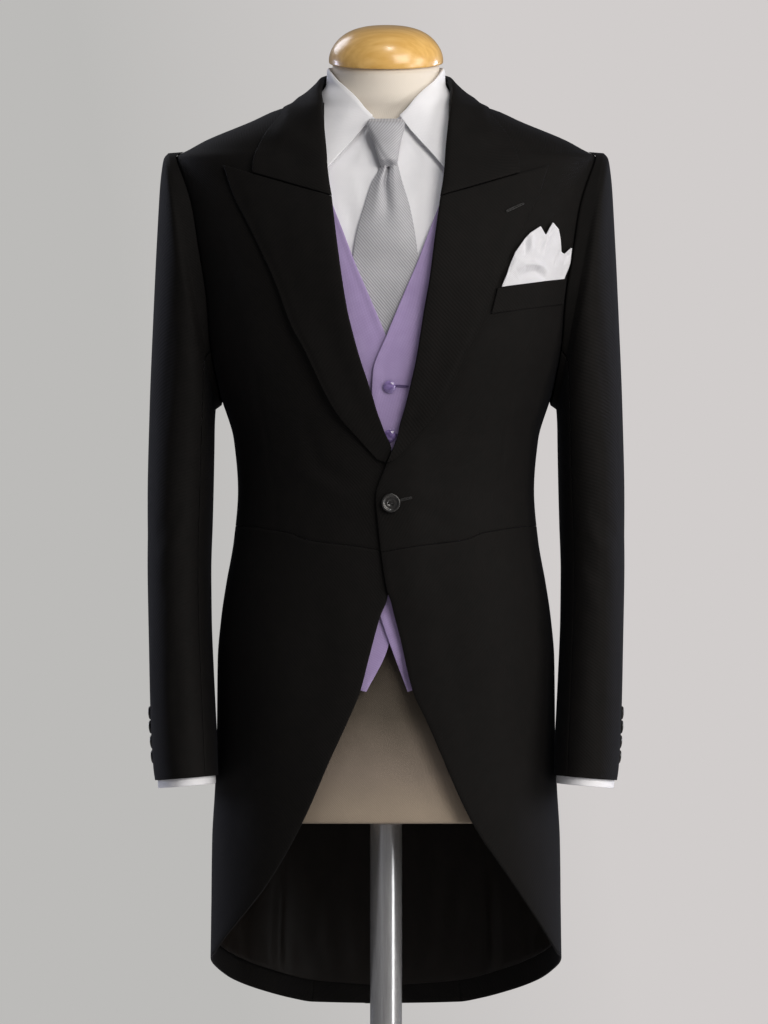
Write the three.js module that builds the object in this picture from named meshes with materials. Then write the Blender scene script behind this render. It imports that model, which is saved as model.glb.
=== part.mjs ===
// A morning suit dressed on a limbless tailor's form: a black cutaway morning coat with peak
// lapels, a lilac waistcoat, a white shirt, a silver tie and a white pocket square. The form
// stands on a steel pole with a round base plate.
// Millimetres, +Z up, the front of the suit faces -Y, the wearer's left is +X.
// The origin is on the floor, on the axis of the pole.
//
// The cloth is built as thin walls. Two bodies of sections carry them: the tailor's form, which
// the shirt, waistcoat and tie are moved out from, and the coat, which has its own cut.
// A point on a body is given by an angle and a height: 0 degrees is the side seam, 90 the centre
// front and -90 the centre back. Each panel is a patch between four edge curves on its body.

import * as THREE from "three";

// Driving sizes
const CLOTH_WALL = 2;
const THIN_WALL = 1.4;
const SEAM_GAP = 0.35;

const FLOOR_Z = 0;
const BASE_RADIUS = 175;
const BASE_THICKNESS = 10;
const HUB_RADIUS = 34;
const HUB_HEIGHT = 46;
const POLE_RADIUS = 16.6;

const FORM_BOTTOM_Z = 747;
const NECK_FRONT_Z = 1531;
const NECK_TILT = 0.131;
const CAP_HEIGHT = 39;

const WAIST_Z = 1056;
const WAIST_DIP = 27;
const COAT_NECK_Z = 1497;
const UNDERARM_Z = 1187;
const SHOULDER_TIP_Z = 1441;
const ROLL_END_Z = 1120;
const HEM_Z = 560;

const degrees = THREE.MathUtils.degToRad;
const mix = THREE.MathUtils.lerp;
const ease = THREE.MathUtils.smoothstep;

// Curves through short tables

/** Slopes of a curve through the points that never runs past them. */
function slopesOf(keys, values) {
  const steps = keys.slice(1).map((key, i) => (values[i + 1] - values[i]) / (key - keys[i]));
  const inner = steps.slice(1).map((step, i) => {
    const before = steps[i];
    return before * step <= 0 ? 0 : (2 * before * step) / (before + step);
  });
  return [steps[0], ...inner, steps.at(-1)];
}

/** A smooth function of x through the points. Past its ends it keeps the end value. */
function curve(keys, values) {
  const slopes = slopesOf(keys, values);
  return (x) => {
    if (x <= keys[0]) return values[0];
    if (x >= keys.at(-1)) return values.at(-1);
    const i = keys.findIndex((key) => key > x) - 1;
    const step = keys[i + 1] - keys[i];
    const t = (x - keys[i]) / step;
    const near = values[i] * (1 + 2 * t) + slopes[i] * step * t;
    const far = values[i + 1] * (3 - 2 * t) + slopes[i + 1] * step * (t - 1);
    return near * (1 - t) ** 2 + far * t ** 2;
  };
}

/** Reads a table with named columns as smooth functions of its first column. */
function table(columns, rows) {
  const keys = rows.map((row) => row[0]);
  const read = (name) => {
    const at = columns.indexOf(name);
    return curve(keys, rows.map((row) => row[at]));
  };
  return Object.fromEntries(columns.slice(1).map((name) => [name, read(name)]));
}

// The two bodies of sections. half is the half width, front and back are the y of the middle,
// middle is the y of the widest point, and power is the squareness of the section.

const FORM = table(
  ["z", "half", "front", "back", "middle", "power"],
  [
    [747, 157, -106, 120, 4, 2.35],
    [880, 162, -108, 127, 3, 2.35],
    [960, 155, -108, 117, 2, 2.3],
    [1041, 141.5, -108, 102, 0, 2.25],
    [1093, 138, -108, 97, 0, 2.2],
    [1145, 143, -112, 99, 0, 2.25],
    [1200, 157, -118, 106, 2, 2.3],
    [1250, 170, -124, 113, 4, 2.35],
    [1300, 178, -126, 119, 6, 2.35],
    [1350, 185, -120, 122, 8, 2.3],
    [1390, 191, -103, 119, 10, 2.2],
    [1418, 194, -86, 111, 12, 2.2],
    [1435, 186, -77, 104, 12, 2.2],
    [1451, 158, -68, 94, 10, 2.2],
    [1466, 122, -62, 83, 8, 2.2],
    [1478, 93, -59, 74, 6, 2.2],
    [1489, 73, -58, 67, 4, 2.15],
    [1502, 63.5, -57.5, 61, 1, 2.1],
    [1518, 57.5, -57.5, 55.5, -1, 2],
    [1548, 56.5, -57.5, 53, -2.5, 2],
  ],
);

const COAT = table(
  ["z", "half", "front", "back", "middle", "power"],
  [
    [548, 184, -124, 152, 10, 2.4],
    [610, 183, -124, 151, 9, 2.4],
    [729, 180.4, -125, 150, 7, 2.35],
    [790, 176.5, -126, 149, 6, 2.35],
    [850, 174.5, -126, 147, 5, 2.35],
    [917, 174, -126, 142, 4, 2.35],
    [958, 171, -126, 135, 3, 2.3],
    [1000, 165.4, -125.5, 126, 1, 2.3],
    [1041, 158.6, -125, 117, 0, 2.25],
    [1093, 154.4, -125, 112, 0, 2.2],
    [1145, 158.6, -128, 114, 0, 2.25],
    [1187, 171, -133, 119, 2, 2.3],
    [1249, 190, -139.5, 126, 4, 2.35],
    [1303, 199, -141, 132, 6, 2.35],
    [1342, 207, -136, 135, 8, 2.35],
    [1390, 215, -119, 132, 10, 2.3],
    [1430, 221, -99, 125, 12, 2.25],
    [1441, 219.5, -92, 121, 12, 2.25],
    [1447, 208, -89, 118, 12, 2.25],
    [1458, 188, -84, 112, 12, 2.25],
    [1478, 140, -76, 98, 11, 2.25],
    [1489, 116, -72, 88, 9, 2.2],
    [1495, 97, -70, 82, 8, 2.2],
    [1506, 78.5, -68, 75, 5, 2.15],
    [1519, 65.2, -66, 71, 2, 2.1],
    [1532, 62.6, -65, 69, 0, 2.05],
  ],
);

const SIDE_STEP = 0.004;
const HEIGHT_STEP = 0.5;

/** The point of a body at an angle in degrees and a height. */
function skin(body, angle, z) {
  const turn = degrees(angle);
  const across = Math.cos(turn) / body.half(z);
  const reach = (turn >= 0 ? -body.front(z) : body.back(z)) + Math.sign(turn) * body.middle(z);
  const deep = Math.sin(turn) / reach;
  const power = body.power(z);
  const radius = (Math.abs(across) ** power + Math.abs(deep) ** power) ** (-1 / power);
  return new THREE.Vector3(radius * Math.cos(turn), body.middle(z) - radius * Math.sin(turn), z);
}

/** The point of a body moved out by a distance along its own normal. */
function onBody(body, angle, z, out = 0) {
  const side = THREE.MathUtils.radToDeg(SIDE_STEP);
  const along = skin(body, angle + side, z).sub(skin(body, angle - side, z));
  const up = skin(body, angle, z + HEIGHT_STEP).sub(skin(body, angle, z - HEIGHT_STEP));
  const normal = up.cross(along).normalize();
  return skin(body, angle, z).addScaledVector(normal, out);
}

/** The angle on the front of a body that stands at this distance from the centre line. */
function frontAngle(body, x, z) {
  const power = body.power(z);
  const share = Math.min(Math.abs(x) / body.half(z), 1) ** power;
  const deep = (body.middle(z) - body.front(z)) * (1 - share) ** (1 / power);
  return THREE.MathUtils.radToDeg(Math.atan2(deep, x));
}

/** The angle on the back of a body that stands at this distance from the centre line. */
function backAngle(body, x, z) {
  const power = body.power(z);
  const share = Math.min(Math.abs(x) / body.half(z), 1) ** power;
  const deep = (body.back(z) - body.middle(z)) * (1 - share) ** (1 / power);
  return -THREE.MathUtils.radToDeg(Math.atan2(deep, x));
}

/** The angle of a body at a depth y, in front of its widest point or behind it. */
function depthAngle(body, y, z) {
  const power = body.power(z);
  const deep = body.middle(z) - y;
  const reach = deep >= 0 ? body.middle(z) - body.front(z) : body.back(z) - body.middle(z);
  const x = body.half(z) * (1 - Math.min(Math.abs(deep) / reach, 1) ** power) ** (1 / power);
  return THREE.MathUtils.radToDeg(Math.atan2(deep, x));
}

const TURN_SQUASH = 0.8;

/** Turns an angle into a measure that runs evenly along a section, and back again. */
const evenly = (angle) =>
  Math.atan2(Math.sin(degrees(angle)), TURN_SQUASH * Math.cos(degrees(angle)));
const unevenly = (turn) =>
  THREE.MathUtils.radToDeg(Math.atan2(TURN_SQUASH * Math.sin(turn), Math.cos(turn)));

/** An angle between two others, in even steps along the section. */
const mixAngle = (from, to, share) => unevenly(mix(evenly(from), evenly(to), share));

/** The share at which mixAngle gives an angle. */
const angleShare = (from, to, angle) => (evenly(angle) - evenly(from)) / (evenly(to) - evenly(from));

// Solids

/** A closed geometry from points and faces, turned so that its faces point out. */
function closed(points, faces) {
  const volume = faces.reduce(
    (sum, [a, b, c]) => sum + points[a].dot(new THREE.Vector3().crossVectors(points[b], points[c])),
    0,
  );
  const order = volume < 0 ? faces.map(([a, b, c]) => [a, c, b]) : faces;
  const geometry = new THREE.BufferGeometry().setFromPoints(points);
  geometry.setIndex(order.flat());
  geometry.computeVertexNormals();
  return geometry;
}

/** Even shares from 0 to 1. */
const shares = (count) => Array.from({ length: count + 1 }, (_, i) => i / count);

/**
 * A wall between an inner and an outer face. pointAt(u, v, face) gives a point, with face 0 inside
 * and 1 outside. A ring wall closes on itself along u.
 */
function wall(us, vs, pointAt, ring = false) {
  const wide = us.length;
  const points = [0, 1].flatMap((face) => vs.flatMap((v) => us.map((u) => pointAt(u, v, face))));
  const at = (i, j, face) => (face * vs.length + j) * wide + (i % wide);
  const faces = [];
  const quad = (a, b, c, d) => faces.push([a, b, c], [a, c, d]);
  const last = ring ? wide : wide - 1;
  for (let j = 0; j < vs.length - 1; j++) {
    for (let i = 0; i < last; i++) {
      quad(at(i, j, 1), at(i + 1, j, 1), at(i + 1, j + 1, 1), at(i, j + 1, 1));
      quad(at(i, j, 0), at(i, j + 1, 0), at(i + 1, j + 1, 0), at(i + 1, j, 0));
    }
    if (!ring) {
      quad(at(0, j, 0), at(0, j, 1), at(0, j + 1, 1), at(0, j + 1, 0));
      quad(at(last, j, 0), at(last, j + 1, 0), at(last, j + 1, 1), at(last, j, 1));
    }
  }
  const top = vs.length - 1;
  for (let i = 0; i < last; i++) {
    quad(at(i, 0, 0), at(i + 1, 0, 0), at(i + 1, 0, 1), at(i, 0, 1));
    quad(at(i, top, 1), at(i + 1, top, 1), at(i + 1, top, 0), at(i, top, 0));
  }
  return closed(points, faces);
}

/**
 * A patch between four edges, each a function of a share from 0 to 1 that gives [angle, height].
 * The left and right edges run upwards, the bottom and top edges from left to right.
 */
function patch({ left, right, bottom, top }) {
  const spread = ([angle, z]) => [evenly(angle), z];
  return (u, v) => {
    const [l, r, b, t] = [left(v), right(v), bottom(u), top(u)].map(spread);
    const [lb, rb, lt, rt] = [left(0), right(0), left(1), right(1)].map(spread);
    const [turn, z] = [0, 1].map((k) => {
      const corners = mix(mix(lb[k], rb[k], u), mix(lt[k], rt[k], u), v);
      return mix(l[k], r[k], u) + mix(b[k], t[k], v) - corners;
    });
    return [unevenly(turn), z];
  };
}

/** Shares that stop short of both ends by half of a seam gap, on a length in millimetres. */
function trimmed(list, length) {
  const edge = SEAM_GAP / 2 / length;
  return list.map((share) => edge + share * (1 - 2 * edge));
}

const suit = new THREE.Group();
const finishes = {};

/** A named finish with the colour, roughness and metalness of the real material. */
function finish(name, color, roughness, metalness = 0) {
  finishes[name] = new THREE.MeshStandardMaterial({ name, color, roughness, metalness });
}

finish("coat_wool", 0x17161a, 0.85);
finish("coat_lining", 0x1c1a1a, 0.4);
finish("waistcoat_silk", 0x8f78b0, 0.5);
finish("shirt_cotton", 0xececf0, 0.8);
finish("tie_silk", 0xb4b4b8, 0.45);
finish("square_linen", 0xf2f2f4, 0.8);
finish("coat_button", 0x18181a, 0.35);
finish("waistcoat_button", 0x7d669c, 0.3);
finish("form_linen", 0xb9aa98, 0.85);
finish("cap_wood", 0xc9913f, 0.2);
finish("stand_steel", 0xa8a8aa, 0.3, 1);

/** Adds one named piece to the suit. */
function piece(name, material, geometry) {
  const mesh = new THREE.Mesh(geometry, finishes[material]);
  mesh.name = name;
  suit.add(mesh);
  return mesh;
}

const SIDES = [
  ["left", 1],
  ["right", -1],
];

/** Turns a point of the left half into the same point of the chosen half. */
const mirrored = (point, hand) => point.setX(point.x * hand);

/** A cloth panel on a body, on one half, between an inner and an outer distance from it. */
function panel({ body, hand, us, vs, place, outer, thickness = CLOTH_WALL }) {
  return wall(us, vs, (u, v, face) => {
    const [angle, z] = place(u, v);
    const lifted = typeof outer === "function" ? outer(angle, z, u, v) : outer;
    return mirrored(onBody(body, angle, z, lifted - (1 - face) * thickness), hand);
  });
}

// Stand and form

/** The round base plate with its hub, turned about the pole. */
function addBase() {
  const bore = POLE_RADIUS + 2 * SEAM_GAP;
  const profile = [
    [0, FLOOR_Z],
    [BASE_RADIUS, FLOOR_Z],
    [BASE_RADIUS, BASE_THICKNESS - 3],
    [BASE_RADIUS - 4, BASE_THICKNESS],
    [HUB_RADIUS, BASE_THICKNESS + 3],
    [HUB_RADIUS - 8, HUB_HEIGHT],
    [bore, HUB_HEIGHT],
    [bore, BASE_THICKNESS - 1],
    [0, BASE_THICKNESS - 1],
  ];
  const points = profile.map(([radius, z]) => new THREE.Vector2(radius, z));
  piece("stand_base", "stand_steel", new THREE.LatheGeometry(points, 28).rotateX(Math.PI / 2));
}

/** The steel pole from the base plate to the underside of the form. */
function addPole() {
  const foot = BASE_THICKNESS - 1 + SEAM_GAP;
  const length = FORM_BOTTOM_Z - SEAM_GAP - foot;
  const geometry = new THREE.CylinderGeometry(POLE_RADIUS, POLE_RADIUS, length, 20);
  geometry.rotateX(Math.PI / 2).translate(0, 0, foot + length / 2);
  piece("stand_pole", "stand_steel", geometry);
}

/** The height of the tilted cut through the neck at a depth y. */
const neckCut = (y) => NECK_FRONT_Z + NECK_TILT * (y - FORM.front(NECK_FRONT_Z));

/** A closed loft of rings, with a middle point at each end. */
function loft(rings) {
  const wide = rings[0].length;
  const points = rings.flat();
  const middle = (ring) =>
    ring.reduce((sum, p) => sum.add(p), new THREE.Vector3()).divideScalar(wide);
  const foot = points.push(middle(rings[0])) - 1;
  const head = points.push(middle(rings.at(-1))) - 1;
  const faces = [];
  for (let i = 0; i < wide; i++) {
    const next = (i + 1) % wide;
    for (let j = 0; j < rings.length - 1; j++) {
      const low = j * wide;
      const high = low + wide;
      faces.push([low + i, low + next, high + next], [low + i, high + next, high + i]);
    }
    const last = (rings.length - 1) * wide;
    faces.push([foot, next, i], [head, last + i, last + next]);
  }
  return closed(points, faces);
}

const FORM_RING_POINTS = 24;

/** How far the torso lies under its sections, where the shirt hides it. */
const torsoIn = (z) => -1.2 * ease(z, 960, 1010) - 4.4 * ease(z, 960, 1010) * (1 - ease(z, 1488, 1502));

/** The linen-covered torso, from its flat underside to the tilted cut of the neck. */
function addTorso() {
  const heights = [
    747, 820, 900, 960, 1030, 1093, 1150, 1205, 1256, 1310, 1360, 1416, 1437, 1453, 1468, 1480, 1491,
    1502, 1518,
  ];
  const turns = shares(FORM_RING_POINTS).slice(0, -1).map((share) => unevenly(share * 2 * Math.PI));
  const ringAt = (heightOf) =>
    turns.map((turned) => {
      const half = Math.abs(turned) > 90 ? Math.sign(turned) * 180 - turned : turned;
      const point = onBody(FORM, half, heightOf(half), torsoIn(heightOf(half)));
      return Math.abs(turned) > 90 ? mirrored(point, -1) : point;
    });
  const rings = heights.map((z) => ringAt(() => z));
  rings.push(ringAt((angle) => neckCut(skin(FORM, angle, NECK_FRONT_Z).y)));
  piece("form_torso", "form_linen", loft(rings));
}

/** The turned wooden cap on the neck, tilted with the cut. */
function addCap() {
  const profile = [
    [0, 0],
    [57.5, 0],
    [59.3, 3],
    [59.5, 8],
    [56.5, 17],
    [50, 25.5],
    [39, 32.5],
    [24, 37],
    [10, CAP_HEIGHT - 0.4],
    [0, CAP_HEIGHT],
  ];
  const points = profile.map(([radius, z]) => new THREE.Vector2(radius, z));
  const cap = new THREE.LatheGeometry(points, 20).rotateX(Math.PI / 2);
  const neckDepth = (FORM.back(NECK_FRONT_Z) - FORM.front(NECK_FRONT_Z)) / 2;
  const neckMiddle = (FORM.back(NECK_FRONT_Z) + FORM.front(NECK_FRONT_Z)) / 2;
  cap.scale(1, neckDepth / FORM.half(NECK_FRONT_Z), 1);
  const mesh = piece("form_cap", "cap_wood", cap);
  mesh.rotation.x = Math.atan(NECK_TILT);
  mesh.position.set(0, neckMiddle, neckCut(neckMiddle) + 2 * SEAM_GAP);
}

addBase();
addPole();
addTorso();
addCap();

// Coat: edges and seams

const SEAM_ANGLE = 0.12;
const WAIST_FADE_Z = 1120;
const SKIRT_CORNER_Z = 610;
const BACK_SEAM_TOP_Z = 1330;
const LAPEL_OUT = 3.2;
const FRONT_LAP = 4;
const VENT_LAP = 22;
const VENT_LIFT = 2.8;
const LINING_OUT = -5.6;

const ARMHOLE = { y: 10, z: 1314, height: 127, front: 64, back: 72 };

/** How far out to the side edges of the armhole a height is, from 0 to 1. */
const armholeShare = (z) => Math.sqrt(Math.max(0, 1 - ((z - ARMHOLE.z) / ARMHOLE.height) ** 2));
const armholeFront = (z) => depthAngle(COAT, ARMHOLE.y - ARMHOLE.front * armholeShare(z), z);
const armholeBack = (z) => depthAngle(COAT, ARMHOLE.y + ARMHOLE.back * armholeShare(z), z);

const ROLL_LINE = curve(
  [1120, 1145, 1187, 1229, 1270, 1312, 1353, 1395, 1437, 1478, 1500],
  [-1, 3, 12, 25, 35, 42.6, 48, 55, 61, 64.5, 65],
);

const CUTAWAY = {
  left: curve(
    [610, 644, 685, 747, 854, 884, 940, 988, 1026, 1056, 1086, 1120],
    [181, 160, 132.6, 90.5, 42, 28, 15.6, 5, -1, -8.3, -10.7, -2],
  ),
  right: curve(
    [610, 624, 644, 684, 748, 814, 854, 884, 922, 950, 968, 990, 1026, 1056, 1086, 1120],
    [181, 172, 156, 124.3, 87.4, 58, 39.5, 27, 17, 9, 7, 3, -1, -8, -10, -1],
  ),
};

/** The distance of a front edge from the centre line. Below zero it passes the centre. */
const frontEdge = (side, z) => (z < ROLL_END_Z ? CUTAWAY[side](z) : ROLL_LINE(z));

const waistDrop = curve([0, 20, 45, 53, 77, 92], [0, 0.5, 7, 14, 21.4, WAIST_DIP]);
const hemHeight = curve([-90, -60, -52, -40, -28, -15, 0, 9], [HEM_Z, 562, 566, 574, 583, 596, 606, 610]);

const sideSeam = curve([WAIST_Z, UNDERARM_Z], [-12, armholeBack(UNDERARM_Z)]);

const backSeamWidth = curve(
  [560, 700, 850, 990, 1055, 1120, 1200, 1260, 1300, BACK_SEAM_TOP_Z],
  [78, 66, 52, 42, 38, 46, 78, 112, 143, skin(COAT, armholeBack(BACK_SEAM_TOP_Z), BACK_SEAM_TOP_Z).x],
);
const backSeam = (z) => backAngle(COAT, backSeamWidth(z), z);

/** How far the left front is lifted where it laps over the right front. */
function frontLap(side, angle, z) {
  if (side === "right" || angle < 0) return 0;
  const across = 1 - ease(skin(COAT, angle, z).x, 22, 60);
  return FRONT_LAP * across * ease(z, 950, 1000) * (1 - ease(z, 1122, 1165));
}

/** How far the left tail is lifted where it laps over the right tail in the back vent. */
function ventLap(side, angle, z) {
  if (side === "right") return 0;
  return VENT_LIFT * (1 - ease(skin(COAT, angle, z).x, 8, 45)) * (1 - ease(z, 1040, 1075));
}

// Coat: body

const FOREPART_ROWS = [
  WAIST_Z + SEAM_GAP / 2, 1086, 1120, 1154, UNDERARM_Z, 1191, 1199, 1214, 1236, 1270, 1305, 1340, 1370,
  1396, 1416, 1430, SHOULDER_TIP_Z, 1450, 1460, 1470, 1479, 1485, 1491, COAT_NECK_Z,
];
const FOREPART_COLUMNS = 7;

/** The edge of the forepart away from the front: side seam, armhole, then shoulder seam. */
function forepartSide(z) {
  if (z < UNDERARM_Z) return sideSeam(z) + SEAM_ANGLE;
  return z < SHOULDER_TIP_Z ? armholeFront(z) + SEAM_ANGLE : SEAM_ANGLE;
}

function addForepart(side, hand) {
  const place = (u, v) => {
    const fade = 1 - ease(v, WAIST_Z, WAIST_FADE_Z);
    const edgeZ = v - fade * WAIST_DIP;
    const edge = frontAngle(COAT, frontEdge(side, edgeZ), edgeZ);
    const angle = mixAngle(forepartSide(v), edge, u);
    return [angle, v - fade * waistDrop(angle)];
  };
  const outer = (angle, z) => frontLap(side, angle, z);
  const geometry = panel({ body: COAT, hand, us: shares(FOREPART_COLUMNS), vs: FOREPART_ROWS, place, outer });
  piece(`coat_forepart_${side}`, "coat_wool", geometry);
}

const SKIRT_ROWS = [562, 600, 640, 690, 750, 820, 890, 960, 1010, WAIST_Z - SEAM_GAP / 2];

/** The skirt from the back seam to the cutaway front edge, below the waist seam. */
function addSkirt(side, hand) {
  const [low, high] = [SKIRT_ROWS[0], SKIRT_ROWS.at(-1)];
  const edgeZ = (v) => mix(SKIRT_CORNER_Z, high - WAIST_DIP, v);
  const left = (v) => [backSeam(mix(low, high, v)) + SEAM_ANGLE, mix(low, high, v)];
  const right = (v) => [frontAngle(COAT, frontEdge(side, edgeZ(v)), edgeZ(v)), edgeZ(v)];
  const along = (u, v) => mixAngle(left(v)[0], right(v)[0], u);
  const place = patch({
    left,
    right,
    bottom: (u) => [along(u, 0), hemHeight(along(u, 0))],
    top: (u) => [along(u, 1), high - waistDrop(along(u, 1))],
  });
  const seamShare = angleShare(left(1)[0], right(1)[0], forepartSide(WAIST_Z));
  const us = [
    ...shares(3).slice(0, -1).map((share) => share * seamShare),
    ...shares(FOREPART_COLUMNS).map((share) => mix(seamShare, 1, share)),
  ];
  const vs = SKIRT_ROWS.map((z) => (z - low) / (high - low));
  const outer = (angle, z) => frontLap(side, angle, z);
  const geometry = panel({ body: COAT, hand, us, vs, place, outer });
  piece(`coat_skirt_${side}`, "coat_wool", geometry);
}

const BACK_SEAM_ROWS = [1086, 1120, 1154, UNDERARM_Z, 1191, 1199, 1214, 1240, 1270, 1300, 1318];

/** The narrow side body between the side seam and the curved back seam, under the armhole. */
function addSidebody(side, hand) {
  const frontSide = (z) => (z < UNDERARM_Z ? sideSeam(z) : armholeBack(z)) - SEAM_ANGLE;
  const place = (u, v) => [mixAngle(backSeam(v) + SEAM_ANGLE, frontSide(v), u), v];
  const vs = [WAIST_Z + 1.4 * SEAM_GAP, ...BACK_SEAM_ROWS, 1326];
  const geometry = panel({ body: COAT, hand, us: shares(4), vs, place, outer: 0 });
  piece(`coat_sidebody_${side}`, "coat_wool", geometry);
}

const BACK_ROWS = [
  HEM_Z, 600, 640, 690, 750, 820, 890, 960, 1010, 1030, 1040, WAIST_Z, ...BACK_SEAM_ROWS, BACK_SEAM_TOP_Z,
  1370, 1396, 1416, 1430, SHOULDER_TIP_Z, 1450, 1460, 1470, 1479, 1485, 1491, COAT_NECK_Z,
];

/** The outer edge of the back: curved back seam, armhole, then shoulder seam. */
function backSide(z) {
  if (z <= BACK_SEAM_TOP_Z) return backSeam(z) - SEAM_ANGLE;
  return z < SHOULDER_TIP_Z ? armholeBack(z) : -SEAM_ANGLE;
}

/** The back from the shoulders to the hem of the tails, with a lapped vent below the waist. */
function addBack(side, hand) {
  const place = (u, v) => {
    const lap = side === "left" ? VENT_LAP * (1 - ease(v, 1030, 1040)) : 0;
    const angle = mixAngle(backAngle(COAT, SEAM_GAP / 2 - lap, v), backSide(v), u);
    const hem = (hemHeight(angle) - HEM_Z) * (1 - ease(v, HEM_Z, 600));
    return [angle, v + hem];
  };
  const outer = (angle, z) => ventLap(side, angle, z);
  const geometry = panel({ body: COAT, hand, us: shares(4), vs: BACK_ROWS, place, outer });
  piece(`coat_back_${side}`, "coat_wool", geometry);
}

/** The lining inside the tails, where it shows between them. */
function addLining(side, hand) {
  const topZ = 900;
  const lowZ = curve([-90, -60, -40, -20, 5], [574, 580, 594, 612, 632]);
  const edgeZ = (v) => mix(lowZ(5), topZ, v);
  const edgeAngle = (z) => frontAngle(COAT, frontEdge(side, z), z) - 9;
  const left = (v) => [backAngle(COAT, 3, mix(lowZ(-90), topZ, v)), mix(lowZ(-90), topZ, v)];
  const right = (v) => [edgeAngle(edgeZ(v)), edgeZ(v)];
  const along = (u, v) => mixAngle(left(v)[0], right(v)[0], u);
  const place = patch({
    left,
    right,
    bottom: (u) => [along(u, 0), lowZ(along(u, 0))],
    top: (u) => [along(u, 1), topZ],
  });
  const options = { body: COAT, hand, us: shares(9), vs: shares(4), place };
  piece(`coat_lining_${side}`, "coat_lining", panel({ ...options, outer: LINING_OUT, thickness: 1 }));
}

// Coat: lapels, collar and pocket

const PEAK = [168, 1430.5];
const GORGE_END = [56, 1397];
const NOTCH = [138.5, 1421.7];
const GORGE_GAP = 0.5;
const NOTCH_SHARE = (NOTCH[0] - GORGE_END[0]) / (PEAK[0] - GORGE_END[0]);
const GORGE_CELLS = 4;

/** A point of the coat's front from its distance from the centre line and its height. */
const onFront = ([x, z]) => [frontAngle(COAT, x, z), z];
const between = (a, b, share) => [mix(a[0], b[0], share), mix(a[1], b[1], share)];

const lapelEdge = curve(
  [1121, 1173, 1242, 1264, 1307, 1369, 1400, PEAK[1]],
  [2, 50, 85, 97, 113.4, 142.5, 158, PEAK[0]],
);

/** The peak lapel, laid on the forepart from the roll line to its outer edge. */
function addLapel(side, hand) {
  const low = side === "left" ? 1122 : 1139;
  const left = (v) => onFront([ROLL_LINE(mix(low, GORGE_END[1], v)), mix(low, GORGE_END[1], v)]);
  const edgeLow = low + 3;
  const right = (v) => onFront([lapelEdge(mix(edgeLow, PEAK[1], v)), mix(edgeLow, PEAK[1], v)]);
  const place = patch({
    left,
    right,
    bottom: (u) => onFront(between([ROLL_LINE(low), low], [lapelEdge(edgeLow), edgeLow], u)),
    top: (u) => onFront(between(GORGE_END, PEAK, u)),
  });
  const outer = (angle, z) => LAPEL_OUT + frontLap(side, angle, z);
  const us = [...shares(GORGE_CELLS).map((share) => share * NOTCH_SHARE), mix(NOTCH_SHARE, 1, 0.5), 1];
  const geometry = panel({ body: COAT, hand, us, vs: shares(12), place, outer });
  piece(`coat_lapel_${side}`, "coat_wool", geometry);
}

const COLLAR_EDGE = table(
  ["share", "angle", "z"],
  [
    [0, -90, 1479],
    [0.27, -45, 1484],
    [0.53, 0, 1495],
    [0.7, 24.5, 1484],
    [0.78, 28.5, 1471],
    [1, 34.6, NOTCH[1] + GORGE_GAP],
  ],
);
const COLLAR_FOLD = table(
  ["share", "angle", "z"],
  [
    [0, -90, 1529],
    [0.19, -45, 1527],
    [0.375, 0, 1521],
    [0.57, 39, 1500],
    [0.675, 51.1, 1478],
    [0.84, 59.6, 1437],
    [1, 65.7, GORGE_END[1] + GORGE_GAP],
  ],
);

/** A row of shares from -1 to 1, so that one piece runs from one half round to the other. */
const around = (count) => shares(2 * count).map((share) => 2 * share - 1);

/** A piece that is the same on both halves and passes the centre line. */
function doublePanel({ body, us, vs, place, outer, thickness = CLOTH_WALL }) {
  return wall(us, vs, (u, v, face) => {
    const [angle, z] = place(Math.abs(u), v);
    const lifted = typeof outer === "function" ? outer(angle, z) : outer;
    return mirrored(onBody(body, angle, z, lifted - (1 - face) * thickness), u < 0 ? -1 : 1);
  });
}

/** The fall of the collar, from one gorge seam round the neck to the other. */
function addCollar() {
  const notch = [NOTCH[0], NOTCH[1] + GORGE_GAP];
  const gorge = [GORGE_END[0], GORGE_END[1] + GORGE_GAP];
  const place = patch({
    left: (v) => [-90, mix(COLLAR_EDGE.z(0), COLLAR_FOLD.z(0), v)],
    right: (v) => onFront(between(notch, gorge, v)),
    bottom: (u) => [COLLAR_EDGE.angle(u), COLLAR_EDGE.z(u)],
    top: (u) => [COLLAR_FOLD.angle(u), COLLAR_FOLD.z(u)],
  });
  const geometry = doublePanel({
    body: COAT, us: around(14), vs: shares(GORGE_CELLS), place, outer: LAPEL_OUT + 1.6,
  });
  piece("coat_collar", "coat_wool", geometry);
}

/** The stand of the collar, upright round the neck under the fall. */
function addCollarStand() {
  const top = curve([-90, -45, 0, 22], [1527, 1525, 1518.5, 1509]);
  const place = (u, v) => {
    const angle = mix(-90, 22, u);
    return [angle, mix(COAT_NECK_Z + 1.3, top(angle), v)];
  };
  const vs = [0, 0.22, 0.5, 1];
  const geometry = doublePanel({ body: COAT, us: around(9), vs, place, outer: 0 });
  piece("coat_collar_stand", "coat_wool", geometry);
}

const WELT = { low: [[108.5, 1276.3], [183, 1287]], high: [[115, 1303.2], [186, 1313]] };

/** The welt of the breast pocket on the wearer's left. */
function addWelt() {
  const place = (u, v) => onFront(between(between(...WELT.low, u), between(...WELT.high, u), v));
  const options = { body: COAT, hand: 1, us: shares(5), vs: shares(2), place };
  piece("coat_breast_welt", "coat_wool", panel({ ...options, outer: LAPEL_OUT }));
}

const SQUARE = table(
  ["share", "base", "x", "z"],
  [
    [0, 118.9, 121, 1309],
    [1, 124, 131.4, 1329.6],
    [2, 129, 137.3, 1347.3],
    [3, 135, 148, 1357],
    [4, 141, 158.3, 1366.2],
    [5, 147, 163.4, 1357.9],
    [6, 154, 170.8, 1370.6],
    [7, 160, 177.3, 1364.4],
    [8, 165, 178.8, 1352.8],
    [9, 171, 182, 1339.7],
    [10, 177, 189.5, 1345],
    [11, 183, 187.5, 1326],
  ],
);

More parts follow.
